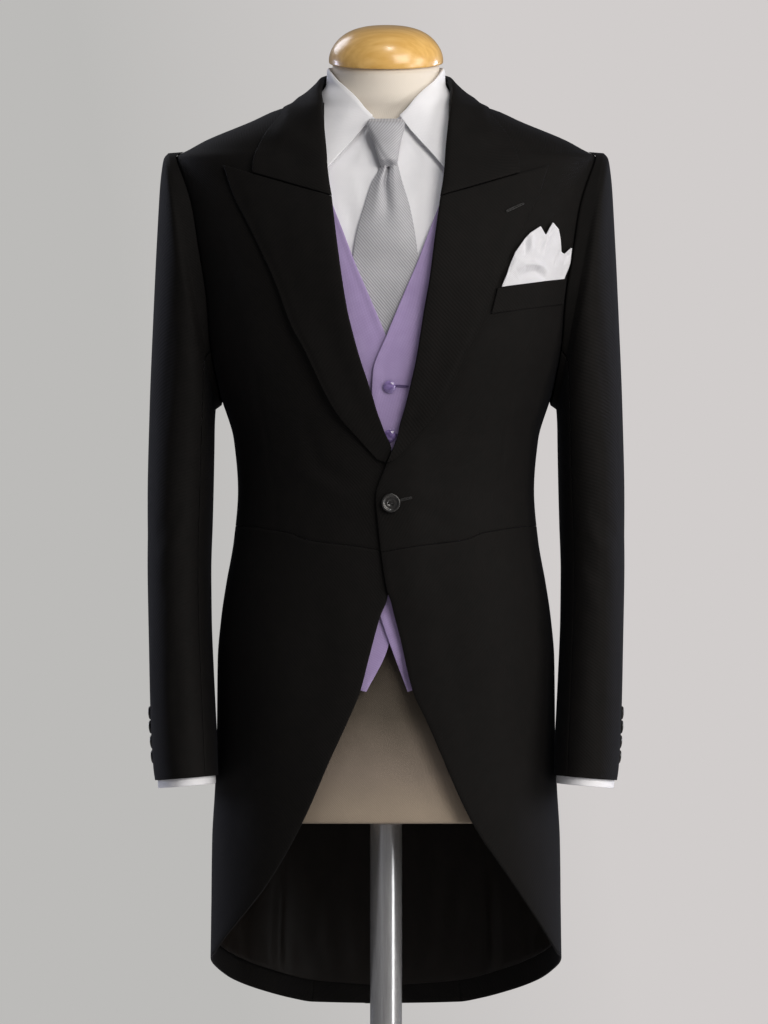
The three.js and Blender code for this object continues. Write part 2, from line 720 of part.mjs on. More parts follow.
/** The folded pocket square, standing out of the breast pocket in three uneven points. */
function addPocketSquare() {
  const [[startX, startZ], [endX, endZ]] = WELT.high;
  const baseZ = (x) => startZ + ((x - startX) / (endX - startX)) * (endZ - startZ) + SEAM_GAP + 0.1;
  const place = (u, v) => {
    const base = [SQUARE.base(u), baseZ(SQUARE.base(u))];
    return onFront(between(base, [SQUARE.x(u), SQUARE.z(u)], v));
  };
  const us = shares(11).map((share) => share * 11);
  const options = { body: COAT, hand: 1, us, vs: shares(3), place, thickness: THIN_WALL };
  piece("pocket_square", "square_linen", panel({ ...options, outer: LAPEL_OUT - 0.4 }));
}

// Sleeves. Each ring lies between an outer and an inner point seen from the front.

const SLEEVE = table(
  ["ring", "outerX", "outerZ", "innerX", "innerZ", "middleY", "halfDepth"],
  [
    [1, 227, 1445, 177.5, 1177.5, 14, 74.5],
    [2, 231.5, 1439.5, 178, 1171, 12.5, 76],
    [3, 235, 1418, 178.5, 1159, 11, 77.5],
    [4, 239, 1353, 178.8, 1137, 9.5, 77],
    [5, 243, 1270, 179.5, 1100, 8, 74],
    [6, 246.5, 1180, 180.5, 1060, 5, 70],
    [7, 248.6, 1086, 182, 1010, 0, 67],
    [8, 248.6, 1020, 181.5, 960, -6, 64],
    [9, 247, 930, 179, 900, -17, 60],
    [10, 245, 850, 176, 840, -30, 57],
    [11, 242, 802, 174.6, 801, -39, 56],
    [12, 240.5, 791.5, 174.4, 797, -42, 55],
    [13, 239.8, 781, 174.2, 786.5, -44, 54.5],
  ],
);
const SLEEVE_POWER = 2.15;
const HEAD_LIFT = 2.5;
const HEAD_MARGIN = 5.2;
const WRIST_RING = 12;

/** A point of the sleeve's first ring, just off the coat round the armhole. */
function headPoint(turn, out) {
  const depth = Math.sin(turn) > 0 ? ARMHOLE.front : ARMHOLE.back;
  const z = ARMHOLE.z + (ARMHOLE.height + HEAD_MARGIN + out) * Math.cos(turn);
  const y = ARMHOLE.y - (depth + HEAD_MARGIN + out) * Math.sin(turn);
  const lifted = onBody(COAT, depthAngle(COAT, y, z), z, HEAD_LIFT);
  return new THREE.Vector3(lifted.x, y, z);
}

/** A point of a sleeve at a ring and a turn round it: 0 outside, 90 front, 180 by the body. */
function sleevePoint(ring, turnDegrees, out) {
  const turn = degrees(turnDegrees);
  const at = Math.max(ring, 1);
  const outer = new THREE.Vector3(SLEEVE.outerX(at), SLEEVE.middleY(at), SLEEVE.outerZ(at));
  const inner = new THREE.Vector3(SLEEVE.innerX(at), SLEEVE.middleY(at), SLEEVE.innerZ(at));
  const axis = outer.clone().sub(inner).multiplyScalar(0.5);
  const bend = (value) => Math.sign(value) * Math.abs(value) ** (2 / SLEEVE_POWER);
  const point = outer.clone().add(inner).multiplyScalar(0.5);
  point.addScaledVector(axis.clone().normalize(), (axis.length() + out) * bend(Math.cos(turn)));
  point.y -= (SLEEVE.halfDepth(at) + out) * bend(Math.sin(turn));
  return ring < 1 ? headPoint(turn, out).lerp(point, ring) : point;
}

/** The direction a sleeve faces at a ring and a turn. */
function sleeveNormal(ring, turnDegrees) {
  const step = 0.05;
  const along = sleevePoint(ring + step, turnDegrees, 0).sub(sleevePoint(ring - step, turnDegrees, 0));
  const across = sleevePoint(ring, turnDegrees + step, 0).sub(sleevePoint(ring, turnDegrees - step, 0));
  return across.cross(along).normalize();
}

const SLEEVE_RINGS = [0, 0.5, 1, 2, 3, 4, 5, 6, 7, 8, 9, 10, 11, WRIST_RING];
const FORE_SEAM_TURN = 125;
const HIND_SEAM_TURN = -40;
const SEAM_TURN = 0.3;
const TOP_TURNS = [HIND_SEAM_TURN + SEAM_TURN, -25, -12, 0, 12, 25, 45, 70, 97, FORE_SEAM_TURN - SEAM_TURN];
const UNDER_TURNS = shares(8).map((s) =>
  mix(FORE_SEAM_TURN + SEAM_TURN, HIND_SEAM_TURN + 360 - SEAM_TURN, s),
);

/** The two-piece sleeve: a top sleeve outside and an under sleeve towards the body. */
function addSleeve(side, hand) {
  const sleeve = (turns) =>
    wall(turns, SLEEVE_RINGS, (turn, ring, face) =>
      mirrored(sleevePoint(ring, turn, (face - 1) * CLOTH_WALL), hand),
    );
  piece(`coat_topsleeve_${side}`, "coat_wool", sleeve(TOP_TURNS));
  piece(`coat_undersleeve_${side}`, "coat_wool", sleeve(UNDER_TURNS));
}

const SHIRT_SLEEVE_RINGS = [2, 3, 4, 5, 6, 7.5, 9, 10.6];
const SHIRT_CUFF_RINGS = [10.65, 11, 12.8];
const SHIRT_SLEEVE_OUT = -5.6;
const SHIRT_CUFF_OUT = -4.4;

/** The shirt sleeve inside the coat sleeve, and its cuff, which shows below the wrist. */
function addShirtSleeve(side, hand) {
  const ringWall = (count, rings, out) => {
    const turns = shares(count).slice(0, -1).map((share) => share * 360 - 180);
    const pointAt = (turn, ring, face) =>
      mirrored(sleevePoint(ring, turn, out + (face - 1) * THIN_WALL), hand);
    return wall(turns, rings, pointAt, true);
  };
  piece(`shirt_sleeve_${side}`, "shirt_cotton", ringWall(10, SHIRT_SLEEVE_RINGS, SHIRT_SLEEVE_OUT));
  piece(`shirt_cuff_${side}`, "shirt_cotton", ringWall(20, SHIRT_CUFF_RINGS, SHIRT_CUFF_OUT));
}

// Waistcoat, on the form over the shirt

const WAISTCOAT_OUT = 8.6;
const WAISTCOAT_LAP = 2.8;
const WAISTCOAT_V_Z = 1256;
const WAISTCOAT_POINT_Z = 884;
const WAISTCOAT_ROWS = [
  WAISTCOAT_POINT_Z, 930, 962, 1000, 1050, 1100, 1150, 1185, 1205, 1220, WAISTCOAT_V_Z, 1300, 1345,
  1388, 1416, 1437, 1453, 1465, 1474, 1482,
];
const WAISTCOAT_EDGE = {
  left: curve(
    [884, 930, 962, 975, 1000, 1195, 1218, 1256, 1297, 1329, 1345, 1398, 1423, 1450, 1478, 1490],
    [22, 5, -6, -10, -14, -14.6, -13.5, 1, 18, 32, 38, 58, 63, 69, 74, 76],
  ),
  right: curve(
    [884, 930, 962, 1000, 1195, 1218, 1256, 1297, 1329, 1345, 1398, 1423, 1450, 1478, 1490],
    [20, -2, -8, -13, -14, -13, 1, 18, 32, 38, 58, 63, 69, 74, 76],
  ),
};
const waistcoatHem = curve([-90, 0, 30, 60, 78.5], [932, 925, 915, 897, WAISTCOAT_POINT_Z]);
const WAISTCOAT_ARM_HEIGHTS = [1205, 1215, 1250, 1300, 1350, 1400, 1440, 1466];
const waistcoatFrontArm = curve(WAISTCOAT_ARM_HEIGHTS, [0, 14, 24, 28, 28, 24, 15, 0]);
const waistcoatBackArm = curve(WAISTCOAT_ARM_HEIGHTS, [0, -12, -20, -24, -24, -20, -12, 0]);

/** The waistcoat stands a little further out over the collar of the shirt. */
const waistcoatOut = (z) => WAISTCOAT_OUT + 2.4 * ease(z, 1380, 1430);

/** A front of the waistcoat, from the side seam to the buttoned edge and the V. */
function addWaistcoatFront(side, hand) {
  const place = (u, v) => {
    const edge = frontAngle(FORM, WAISTCOAT_EDGE[side](v), v);
    const angle = mixAngle(waistcoatFrontArm(v) + SEAM_ANGLE, edge, u);
    const fade = 1 - ease(v, WAISTCOAT_POINT_Z, 1000);
    return [angle, v + fade * (waistcoatHem(angle) - WAISTCOAT_POINT_Z)];
  };
  const outer = (angle, z) => {
    if (side === "right") return waistcoatOut(z);
    const lap = (1 - ease(skin(FORM, angle, z).x, 16, 48)) * ease(z, 900, 930);
    return waistcoatOut(z) + WAISTCOAT_LAP * lap * (1 - ease(z, 1256, 1300));
  };
  const options = { body: FORM, hand, us: shares(7), vs: WAISTCOAT_ROWS, place, thickness: THIN_WALL };
  piece(`waistcoat_front_${side}`, "waistcoat_silk", panel({ ...options, outer }));
}

function addWaistcoatBack() {
  const rows = WAISTCOAT_ROWS.filter((z) => z !== 930);
  const place = (u, v) => {
    const angle = mixAngle(-90, waistcoatBackArm(v) - SEAM_ANGLE, u);
    const fade = 1 - ease(v, WAISTCOAT_POINT_Z, 1000);
    return [angle, v + fade * (waistcoatHem(angle) - WAISTCOAT_POINT_Z)];
  };
  const options = { body: FORM, us: around(5), vs: rows, place, thickness: THIN_WALL };
  const outer = (angle, z) => waistcoatOut(z) + 0.6;
  piece("waistcoat_back", "waistcoat_silk", doublePanel({ ...options, outer }));
}

// Shirt and tie

const SHIRT_OUT = 3.2;
const BAND_LOW_Z = 1500;
const SHIRT_LOW_Z = 975;
const bandLow = curve([-90, 35, 90], [BAND_LOW_Z, BAND_LOW_Z, 1466]);
const SHIRT_ROWS = [
  SHIRT_LOW_Z, 1050, 1100, 1150, 1195, 1220, 1256, 1300, 1345, 1388, 1416, 1437, 1453, 1463, 1472, 1480,
  1490, BAND_LOW_Z,
];
const shirtArm = curve([1195, 1215, 1260, 1310, 1360, 1400, 1440], [0, 10, 16, 18, 16, 11, 0]);

function addShirtBody() {
  const front = (u, v) => {
    const angle = mixAngle(shirtArm(v) + 1.5 * SEAM_ANGLE, frontAngle(FORM, SEAM_GAP / 2, v), u);
    const drop = (BAND_LOW_Z - bandLow(angle)) * ease(v, 1430, BAND_LOW_Z);
    return [angle, v - drop];
  };
  const back = (u, v) => [mixAngle(-90, -shirtArm(v) - 1.5 * SEAM_ANGLE, u), v];
  const options = { body: FORM, vs: SHIRT_ROWS, outer: SHIRT_OUT, thickness: THIN_WALL };
  for (const [side, hand] of SIDES) {
    const geometry = panel({ ...options, hand, us: shares(6), place: front });
    piece(`shirt_front_${side}`, "shirt_cotton", geometry);
  }
  piece("shirt_back", "shirt_cotton", doublePanel({ ...options, us: around(5), place: back }));
}

const SHIRT_FOLD = curve([-90, -45, 0, 10, 38, 60, 80, 90], [1536, 1535, 1533, 1531, 1517, 1503, 1481, 1476]);

/** The neckband, and the collar leaves that fold down from its top edge. */
function addShirtCollar() {
  const band = (u, v) => {
    const angle = mix(-90, 86, u);
    return [angle, mix(bandLow(angle) + 4 * SEAM_GAP, SHIRT_FOLD(angle) - 1, v)];
  };
  const options = { body: FORM, us: around(11), vs: shares(3), place: band, thickness: 1.1 };
  piece("shirt_neckband", "shirt_cotton", doublePanel({ ...options, outer: 1.9 }));
  const front = table(
    ["share", "x", "z"],
    [
      [0, 60, 1424],
      [0.72, 22, 1466],
      [1, 13.5, 1478],
    ],
  );
  const onNeck = (x, z) => [frontAngle(FORM, x, z), z];
  const low = table(
    ["share", "angle", "z"],
    [
      [0, onNeck(60, 1424)[0], 1424],
      [0.25, 46, 1452],
      [0.5, 0, 1492],
      [1, -89.7, 1496],
    ],
  );
  const foldAngle = (u) => mix(onNeck(13.5, 1478)[0], -89.7, u);
  const place = patch({
    left: (v) => onNeck(front.x(v), front.z(v)),
    right: (v) => [-89.7, mix(1496, 1536, v)],
    bottom: (u) => [low.angle(u), low.z(u)],
    top: (u) => [foldAngle(u), SHIRT_FOLD(foldAngle(u))],
  });
  const outer = (angle, z) => 4.5 + 3.9 * (1 - ease(z, 1496, 1514));
  for (const [side, hand] of SIDES) {
    const leaf = { body: FORM, hand, us: shares(10), vs: shares(5), place, outer, thickness: 1.2 };
    piece(`shirt_collar_${side}`, "shirt_cotton", panel(leaf));
  }
}

const TIE_BLADE = table(
  ["z", "left", "right"],
  [
    [1166, -1, 3],
    [1212, -42, 43],
    [1256, -40, 41],
    [1300, -37, 37],
    [1343, -33.3, 31.8],
    [1359, -30.2, 29.5],
    [1385, -22.9, 24.5],
    [1410, -14.6, 17],
    [1427, -6.5, 12.8],
    [1448, -5, 8],
  ],
);

function addTie() {
  const rows = [1166, 1190, 1212, 1240, 1270, 1300, 1322, 1345, 1366, 1388, 1410, 1427, 1448];
  const place = (u, v) => [frontAngle(FORM, mix(TIE_BLADE.left(v), TIE_BLADE.right(v), u), v), v];
  const options = { body: FORM, hand: 1, us: shares(5), vs: rows, place, thickness: 1.2 };
  piece("tie_blade", "tie_silk", panel({ ...options, outer: 5.4 }));

  const knot = table(
    ["z", "middle", "halfWidth", "halfDepth"],
    [
      [1429.5, 2.7, 8.2, 3.5],
      [1434, 2.5, 9.8, 6],
      [1445, 1.8, 13, 7.2],
      [1458, 1, 16.4, 7.4],
      [1470, 0.2, 19, 6.8],
      [1476, 0, 19.4, 5.5],
      [1479.5, 0, 17, 3.2],
    ],
  );
  const turns = shares(16).slice(0, -1).map((share) => share * 2 * Math.PI);
  const rings = [1429.5, 1434, 1440, 1450, 1460, 1470, 1476, 1479.5].map((z) =>
    turns.map((turn) => {
      const seat = mix(7.2, 10, ease(z, 1452, 1472));
      const y = FORM.front(z) - seat - knot.halfDepth(z) * (1 + Math.sin(turn));
      return new THREE.Vector3(knot.middle(z) + knot.halfWidth(z) * Math.cos(turn), y, z);
    }),
  );
  piece("tie_knot", "tie_silk", loft(rings));
}

// Buttons

/** A round button with a raised rim, facing along the normal of what it lies on. */
function addButton(name, material, point, normal, radius, depth) {
  const corners = radius > 8 ? 14 : 10;
  const profile = [
    [0, 0],
    [radius * 0.9, 0],
    [radius, depth * 0.6],
    [radius * 0.8, depth],
    [0, depth * 0.8],
  ];
  const outline = profile.map(([x, y]) => new THREE.Vector2(x, y));
  const turn = new THREE.Quaternion().setFromUnitVectors(new THREE.Vector3(0, 1, 0), normal);
  const geometry = new THREE.LatheGeometry(outline, corners).applyQuaternion(turn);
  piece(name, material, geometry.translate(point.x, point.y, point.z));
}

function buttonOn(body, name, material, [angle, z], hand, out, radius, depth) {
  const point = mirrored(onBody(body, angle, z, out), hand);
  const normal = mirrored(onBody(body, angle, z, out + 1), hand).sub(point).normalize();
  addButton(name, material, point, normal, radius, depth);
}

const CUFF_BUTTON_HEIGHTS = [861.6, 847, 831.4, 815.8];
const CUFF_BUTTON_OUT = [0.35, 0.35, -0.15, -0.15];
const CUFF_BUTTON_TURN = -18.5;

/** The ring of the sleeve whose outer edge is at a height. */
function sleeveRingAt(z) {
  let [low, high] = [1, WRIST_RING];
  while (high - low > 0.001) {
    const middle = (low + high) / 2;
    if (SLEEVE.outerZ(middle) > z) low = middle;
    else high = middle;
  }
  return low;
}

function addButtons() {
  const frontButton = onFront([4.9, 1080]);
  buttonOn(COAT, "coat_front_button", "coat_button", frontButton, 1, FRONT_LAP + 0.5, 10, 3.4);
  for (const [side, hand] of SIDES) {
    const at = [backAngle(COAT, 38, WAIST_Z), WAIST_Z];
    buttonOn(COAT, `coat_waist_button_${side}`, "coat_button", at, hand, 1, 10, 3.4);
    CUFF_BUTTON_HEIGHTS.forEach((z, i) => {
      const ring = sleeveRingAt(z);
      const normal = mirrored(sleeveNormal(ring, CUFF_BUTTON_TURN), hand);
      const point = mirrored(sleevePoint(ring, CUFF_BUTTON_TURN, 0), hand);
      point.addScaledVector(normal, CUFF_BUTTON_OUT[i]);
      addButton(`coat_cuff_button_${side}_${i + 1}`, "coat_button", point, normal, 7, 2.6);
    });
  }
  [1201.7, 1150.7, 1100, 1049, 998].forEach((z, i) => {
    const at = [frontAngle(FORM, 3.6, z), z];
    const out = WAISTCOAT_OUT + WAISTCOAT_LAP + 0.4;
    buttonOn(FORM, `waistcoat_button_${i + 1}`, "waistcoat_button", at, 1, out, 7, 1.8);
  });
}

for (const [side, hand] of SIDES) {
  addForepart(side, hand);
  addSidebody(side, hand);
  addBack(side, hand);
  addSkirt(side, hand);
  addLining(side, hand);
  addLapel(side, hand);
  addSleeve(side, hand);
  addShirtSleeve(side, hand);
  addWaistcoatFront(side, hand);
}
addCollar();
addCollarStand();
addWelt();
addPocketSquare();
addWaistcoatBack();
addShirtBody();
addShirtCollar();
addTie();
addButtons();

export default suit;
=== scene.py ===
"""The looks of a morning suit on a tailor's dress form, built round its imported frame.

Every cloth piece is a thin wall over a patch on one of two bodies of sections: the form and the
coat. Shapes are worked out in millimetres and written to the meshes in metres. The origin is on
the floor under the pole, +Z is up, the suit faces -Y and the wearer's left is +X.
"""

import logging
from dataclasses import dataclass, field
from enum import Enum
from typing import Any, Callable, Sequence

import bpy
import numpy as np
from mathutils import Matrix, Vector

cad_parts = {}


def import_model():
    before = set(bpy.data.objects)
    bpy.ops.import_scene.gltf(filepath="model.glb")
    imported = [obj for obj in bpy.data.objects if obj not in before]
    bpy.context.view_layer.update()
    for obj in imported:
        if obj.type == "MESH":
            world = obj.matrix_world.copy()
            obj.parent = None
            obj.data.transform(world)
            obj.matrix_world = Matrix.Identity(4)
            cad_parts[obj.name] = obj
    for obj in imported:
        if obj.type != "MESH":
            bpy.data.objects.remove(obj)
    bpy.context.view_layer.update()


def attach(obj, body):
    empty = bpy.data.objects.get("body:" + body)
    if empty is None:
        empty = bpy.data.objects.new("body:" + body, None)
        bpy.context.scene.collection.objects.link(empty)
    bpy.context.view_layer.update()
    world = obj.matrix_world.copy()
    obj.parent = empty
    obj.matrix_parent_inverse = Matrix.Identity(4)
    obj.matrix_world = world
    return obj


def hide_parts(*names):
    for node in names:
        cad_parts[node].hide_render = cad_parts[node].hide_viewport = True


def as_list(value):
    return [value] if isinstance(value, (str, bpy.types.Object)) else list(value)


LOG = logging.getLogger("morning_suit")
Array = np.ndarray
Pair = tuple[float, float]
Triple = tuple[float, float, float]
Piece = bpy.types.Object
Material = bpy.types.Material
Tree = bpy.types.NodeTree
Node = bpy.types.Node
Socket = bpy.types.NodeSocket
# A spot on a body: an angle round it in degrees and a height in millimetres.
Spot = tuple[Array, Array]
MM = 0.001
SEAM_GAP = 0.15
SEAM_ANGLE = 0.03


class Side(Enum):
    """The two halves of the wearer, with the sign of X on each."""

    LEFT = 1
    RIGHT = -1

    @property
    def word(self) -> str:
        """The word that the node names carry."""
        return self.name.lower()


# Curves and sections


def mix(low: Any, high: Any, share: Any) -> Any:
    """Goes from low to high in a straight line.

    Args:
        low: the value at share 0.
        high: the value at share 1.
        share: how far along.

    Returns:
        The value at that share.
    """
    return low + (high - low) * share


def ease(value: Any, low: float, high: float) -> Any:
    """Goes from 0 to 1 in a soft step.

    Args:
        value: where it is read.
        low: the value below which it is 0.
        high: the value above which it is 1.

    Returns:
        A share from 0 to 1.
    """
    share = np.clip((np.asarray(value, float) - low) / (high - low), 0, 1)
    return share * share * (3 - 2 * share)


def hump(value: Any, middle: float, width: float) -> Any:
    """A soft hump, 1 at its middle.

    Args:
        value: where it is read.
        middle: the place of its top.
        width: the distance at which it has sunk to about a third.

    Returns:
        A share from 0 to 1.
    """
    return np.exp(-(((np.asarray(value, float) - middle) / width) ** 2))


class Curve:
    """A smooth function through points. It never runs past them and keeps its end values."""

    def __init__(self, keys: Sequence[float], values: Sequence[float]) -> None:
        """Keeps the points and works out the slopes.

        Args:
            keys: rising places.
            values: the value at each place.
        """
        self.keys = np.asarray(keys, float)
        self.values = np.asarray(values, float)
        steps = np.diff(self.values) / np.diff(self.keys)
        before, after = steps[:-1], steps[1:]
        total = np.where(before + after == 0, 1, before + after)
        inner = np.where(before * after <= 0, 0, 2 * before * after / total)
        self.slopes = np.concatenate([steps[:1], inner, steps[-1:]])

    def __call__(self, place: Any) -> Array:
        """Reads the curve.

        Args:
            place: one place or many.

        Returns:
            The value at each place.
        """
        x = np.clip(np.asarray(place, float), self.keys[0], self.keys[-1])
        i = np.clip(np.searchsorted(self.keys, x, side="right") - 1, 0, len(self.keys) - 2)
        step = self.keys[i + 1] - self.keys[i]
        t = (x - self.keys[i]) / step
        near = self.values[i] * (1 + 2 * t) + self.slopes[i] * step * t
        far = self.values[i + 1] * (3 - 2 * t) + self.slopes[i + 1] * step * (t - 1)
        return near * (1 - t) ** 2 + far * t**2


def columns(rows: Sequence[Sequence[float]]) -> list[Curve]:
    """Reads a table as curves of its first column.

    Args:
        rows: the table, one row for each place.

    Returns:
        A curve for every column after the first.
    """
    cells = np.asarray(rows, float)
    return [Curve(cells[:, 0], cells[:, k]) for k in range(1, cells.shape[1])]


TURN_SQUASH = 0.8


def evenly(angle: Any) -> Array:
    """Turns an angle in degrees into a measure that runs evenly along a section."""
    turn = np.radians(angle)
    return np.arctan2(np.sin(turn), TURN_SQUASH * np.cos(turn))


def unevenly(turn: Any) -> Array:
    """Turns that even measure back into an angle in degrees."""
    return np.degrees(np.arctan2(TURN_SQUASH * np.sin(turn), np.cos(turn)))


def mix_angle(start: Any, end: Any, share: Any) -> Array:
    """An angle between two others, in even steps along the section.

    Args:
        start: the angle at share 0, in degrees.
        end: the angle at share 1.
        share: how far along.

    Returns:
        The angle in degrees.
    """
    return unevenly(mix(evenly(start), evenly(end), share))


@dataclass(frozen=True)
class Body:
    """Oval sections by height: half width, front and back depth, widest depth and squareness."""

    half: Curve
    front: Curve
    back: Curve
    middle: Curve
    power: Curve

    def skin(self, angle: Any, z: Any) -> Array:
        """The point of the body at an angle and a height.

        Args:
            angle: 0 at the side seam, 90 at the centre front, -90 at the centre back.
            z: height in millimetres.

        Returns:
            Points in millimetres.
        """
        angle, z = np.broadcast_arrays(np.asarray(angle, float), np.asarray(z, float))
        turn = np.radians(angle)
        middle, power = self.middle(z), self.power(z)
        reach = np.where(turn >= 0, middle - self.front(z), self.back(z) - middle)
        across = np.abs(np.cos(turn) / self.half(z)) ** power
        radius = (across + np.abs(np.sin(turn) / reach) ** power) ** (-1 / power)
        return np.stack([radius * np.cos(turn), middle - radius * np.sin(turn), z], -1)

    def normal(self, angle: Any, z: Any) -> Array:
        """The direction that the body faces at an angle and a height."""
        along = self.skin(np.asarray(angle) + 0.004, z) - self.skin(np.asarray(angle) - 0.004, z)
        upward = self.skin(angle, np.asarray(z) + 0.5) - self.skin(angle, np.asarray(z) - 0.5)
        facing = np.cross(upward, along)
        return facing / np.linalg.norm(facing, axis=-1, keepdims=True)

    def out(self, angle: Any, z: Any, lift: Any) -> Array:
        """The point of the body moved out along its own normal by lift millimetres."""
        lifted = np.broadcast_to(np.asarray(lift, float), np.broadcast(angle, z).shape)
        return self.skin(angle, z) + self.normal(angle, z) * lifted[..., None]

    def front_angle(self, x: Any, z: Any) -> Array:
        """The angle on the front at x millimetres from the centre line."""
        power = self.power(z)
        share = np.minimum(np.abs(x) / self.half(z), 1) ** power
        deep = (self.middle(z) - self.front(z)) * (1 - share) ** (1 / power)
        return np.degrees(np.arctan2(deep, x))

    def back_angle(self, x: Any, z: Any) -> Array:
        """The angle on the back at x millimetres from the centre line."""
        power = self.power(z)
        share = np.minimum(np.abs(x) / self.half(z), 1) ** power
        deep = (self.back(z) - self.middle(z)) * (1 - share) ** (1 / power)
        return -np.degrees(np.arctan2(deep, x))

    def depth_angle(self, y: Any, z: Any) -> Array:
        """The angle at a depth y, in front of the widest point or behind it."""
        power, middle = self.power(z), self.middle(z)
        deep = middle - y
        reach = np.where(deep >= 0, middle - self.front(z), self.back(z) - middle)
        x = self.half(z) * (1 - np.minimum(np.abs(deep) / reach, 1) ** power) ** (1 / power)
        return np.degrees(np.arctan2(deep, x))


FORM = Body(
    *columns(
        [
            [747, 157, -106, 120, 4, 2.35],
            [880, 162, -108, 127, 3, 2.35],
            [960, 155, -108, 117, 2, 2.3],
            [1041, 141.5, -108, 102, 0, 2.25],
            [1093, 138, -108, 97, 0, 2.2],
            [1145, 143, -112, 99, 0, 2.25],
            [1200, 157, -118, 106, 2, 2.3],
            [1250, 170, -124, 113, 4, 2.35],
            [1300, 178, -126, 119, 6, 2.35],
            [1350, 185, -120, 122, 8, 2.3],
            [1390, 191, -103, 119, 10, 2.2],
            [1418, 194, -86, 111, 12, 2.2],
            [1435, 186, -77, 104, 12, 2.2],
            [1451, 158, -68, 94, 10, 2.2],
            [1466, 122, -62, 83, 8, 2.2],
            [1478, 93, -59, 74, 6, 2.2],
            [1489, 73, -58, 67, 4, 2.15],
            [1502, 63.5, -57.5, 61, 1, 2.1],
            [1518, 57.5, -57.5, 55.5, -1, 2],
            [1548, 56.5, -57.5, 53, -2.5, 2],
        ]
    )
)
COAT = Body(
    *columns(
        [
            [548, 184, -124, 152, 10, 2.4],
            [610, 183, -124, 151, 9, 2.4],
            [729, 180.4, -125, 150, 7, 2.35],
            [790, 176.5, -126, 149, 6, 2.35],
            [850, 174.5, -126, 147, 5, 2.35],
            [917, 174, -126, 142, 4, 2.35],
            [958, 171, -126, 135, 3, 2.3],
            [1000, 165.4, -125.5, 126, 1, 2.3],
            [1041, 158.6, -125, 117, 0, 2.25],
            [1093, 154.4, -125, 112, 0, 2.2],
            [1145, 158.6, -128, 114, 0, 2.25],
            [1187, 171, -133, 119, 2, 2.3],
            [1249, 190, -139.5, 126, 4, 2.35],
            [1303, 199, -141, 132, 6, 2.35],
            [1342, 207, -136, 135, 8, 2.35],
            [1390, 215, -119, 132, 10, 2.3],
            [1430, 221, -99, 125, 12, 2.25],
            [1441, 219.5, -92, 121, 12, 2.25],
            [1447, 208, -89, 118, 12, 2.25],
            [1458, 188, -84, 112, 12, 2.25],
            [1478, 140, -76, 98, 11, 2.25],
            [1489, 116, -72, 88, 9, 2.2],
            [1495, 97, -70, 82, 8, 2.2],
            [1506, 78.5, -68, 75, 5, 2.15],
            [1519, 65.2, -66, 71, 2, 2.1],
            [1532, 62.6, -65, 69, 0, 2.05],
        ]
    )
)

Edge = Callable[[Array], Spot]
Place = Callable[[Array, Array], Spot]
Height = Callable[[Array], Array]


def patch(left: Edge, right: Edge, bottom: Edge, top: Edge) -> Place:
    """A patch between four edges, each a function of a share that gives an angle and a height.

    Args:
        left: the left edge, running upwards.
        right: the right edge, running upwards.
        bottom: the bottom edge, from left to right.
        top: the top edge, from left to right.

    Returns:
        A function from shares u and v to an angle and a height.
    """

    def spread(at: Spot) -> list[Array]:
        """Puts the angle of a point into the even measure."""
        return [evenly(at[0]), np.asarray(at[1], float)]

    def place(u: Array, v: Array) -> Spot:
        """Gives the angle and height at shares u and v."""
        none, whole = np.zeros_like(u), np.ones_like(u)
        sides = [spread(left(v)), spread(right(v)), spread(bottom(u)), spread(top(u))]
        corners = [spread(left(none)), spread(right(none)), spread(left(whole)), spread(right(whole))]
        found = []
        for k in range(2):
            flat = mix(mix(corners[0][k], corners[1][k], u), mix(corners[2][k], corners[3][k], u), v)
            found.append(mix(sides[0][k], sides[1][k], u) + mix(sides[2][k], sides[3][k], v) - flat)
        return unevenly(found[0]), found[1]

    return place


def strip(left: Edge, right: Edge, foot: Height, head: Height) -> Place:
    """A patch between two side edges, with its foot and its head at heights by angle.

    Args:
        left: the edge at u 0.
        right: the edge at u 1.
        foot: the height of the lower edge at an angle.
        head: the height of the upper edge at an angle.

    Returns:
        A function from shares u and v to an angle and a height.
    """

    def level(v: float, height: Height) -> Edge:
        """The lower or the upper edge, between the ends of the side edges."""
        start, end = left(np.full(1, v))[0], right(np.full(1, v))[0]
        return lambda u: (mix_angle(start, end, u), height(mix_angle(start, end, u)))

    return patch(left, right, level(0.0, foot), level(1.0, head))


def between(start: Pair, end: Pair, share: Array) -> Spot:
    """The point between two points of the front, each x and z in millimetres."""
    return mix(start[0], end[0], share), mix(start[1], end[1], share)


def on_front(body: Body, x: Any, z: Any) -> Spot:
    """The angle and height of a point of a body's front from its x and z."""
    return body.front_angle(x, z), np.asarray(z, float)


# Creases

SECTION_SPAN = 165.0


@dataclass(frozen=True)
class Crease:
    """A soft trough or ridge laid in the cloth."""

    path: tuple[Pair, ...]
    depth: float
    width: float

    def lift(self, across: Array, z: Array) -> Array:
        """How far the crease moves the cloth.

        Args:
            across: place along the section in millimetres.
            z: height in millimetres.

        Returns:
            Millimetres outwards, below zero in a trough.
        """
        nearest = np.full(across.shape, np.inf)
        along = np.zeros(across.shape)
        count = len(self.path) - 1
        for i in range(count):
            (ax, az), (bx, bz) = self.path[i], self.path[i + 1]
            dx, dz = bx - ax, bz - az
            t = np.clip(((across - ax) * dx + (z - az) * dz) / (dx * dx + dz * dz), 0, 1)
            gap = np.hypot(across - ax - t * dx, z - az - t * dz)
            along = np.where(gap < nearest, (i + t) / count, along)
            nearest = np.minimum(gap, nearest)
        ends = np.sin(np.pi * np.clip(along, 0.02, 0.98)) ** 0.7
        return self.depth * ends * np.exp(-((nearest / self.width) ** 2))


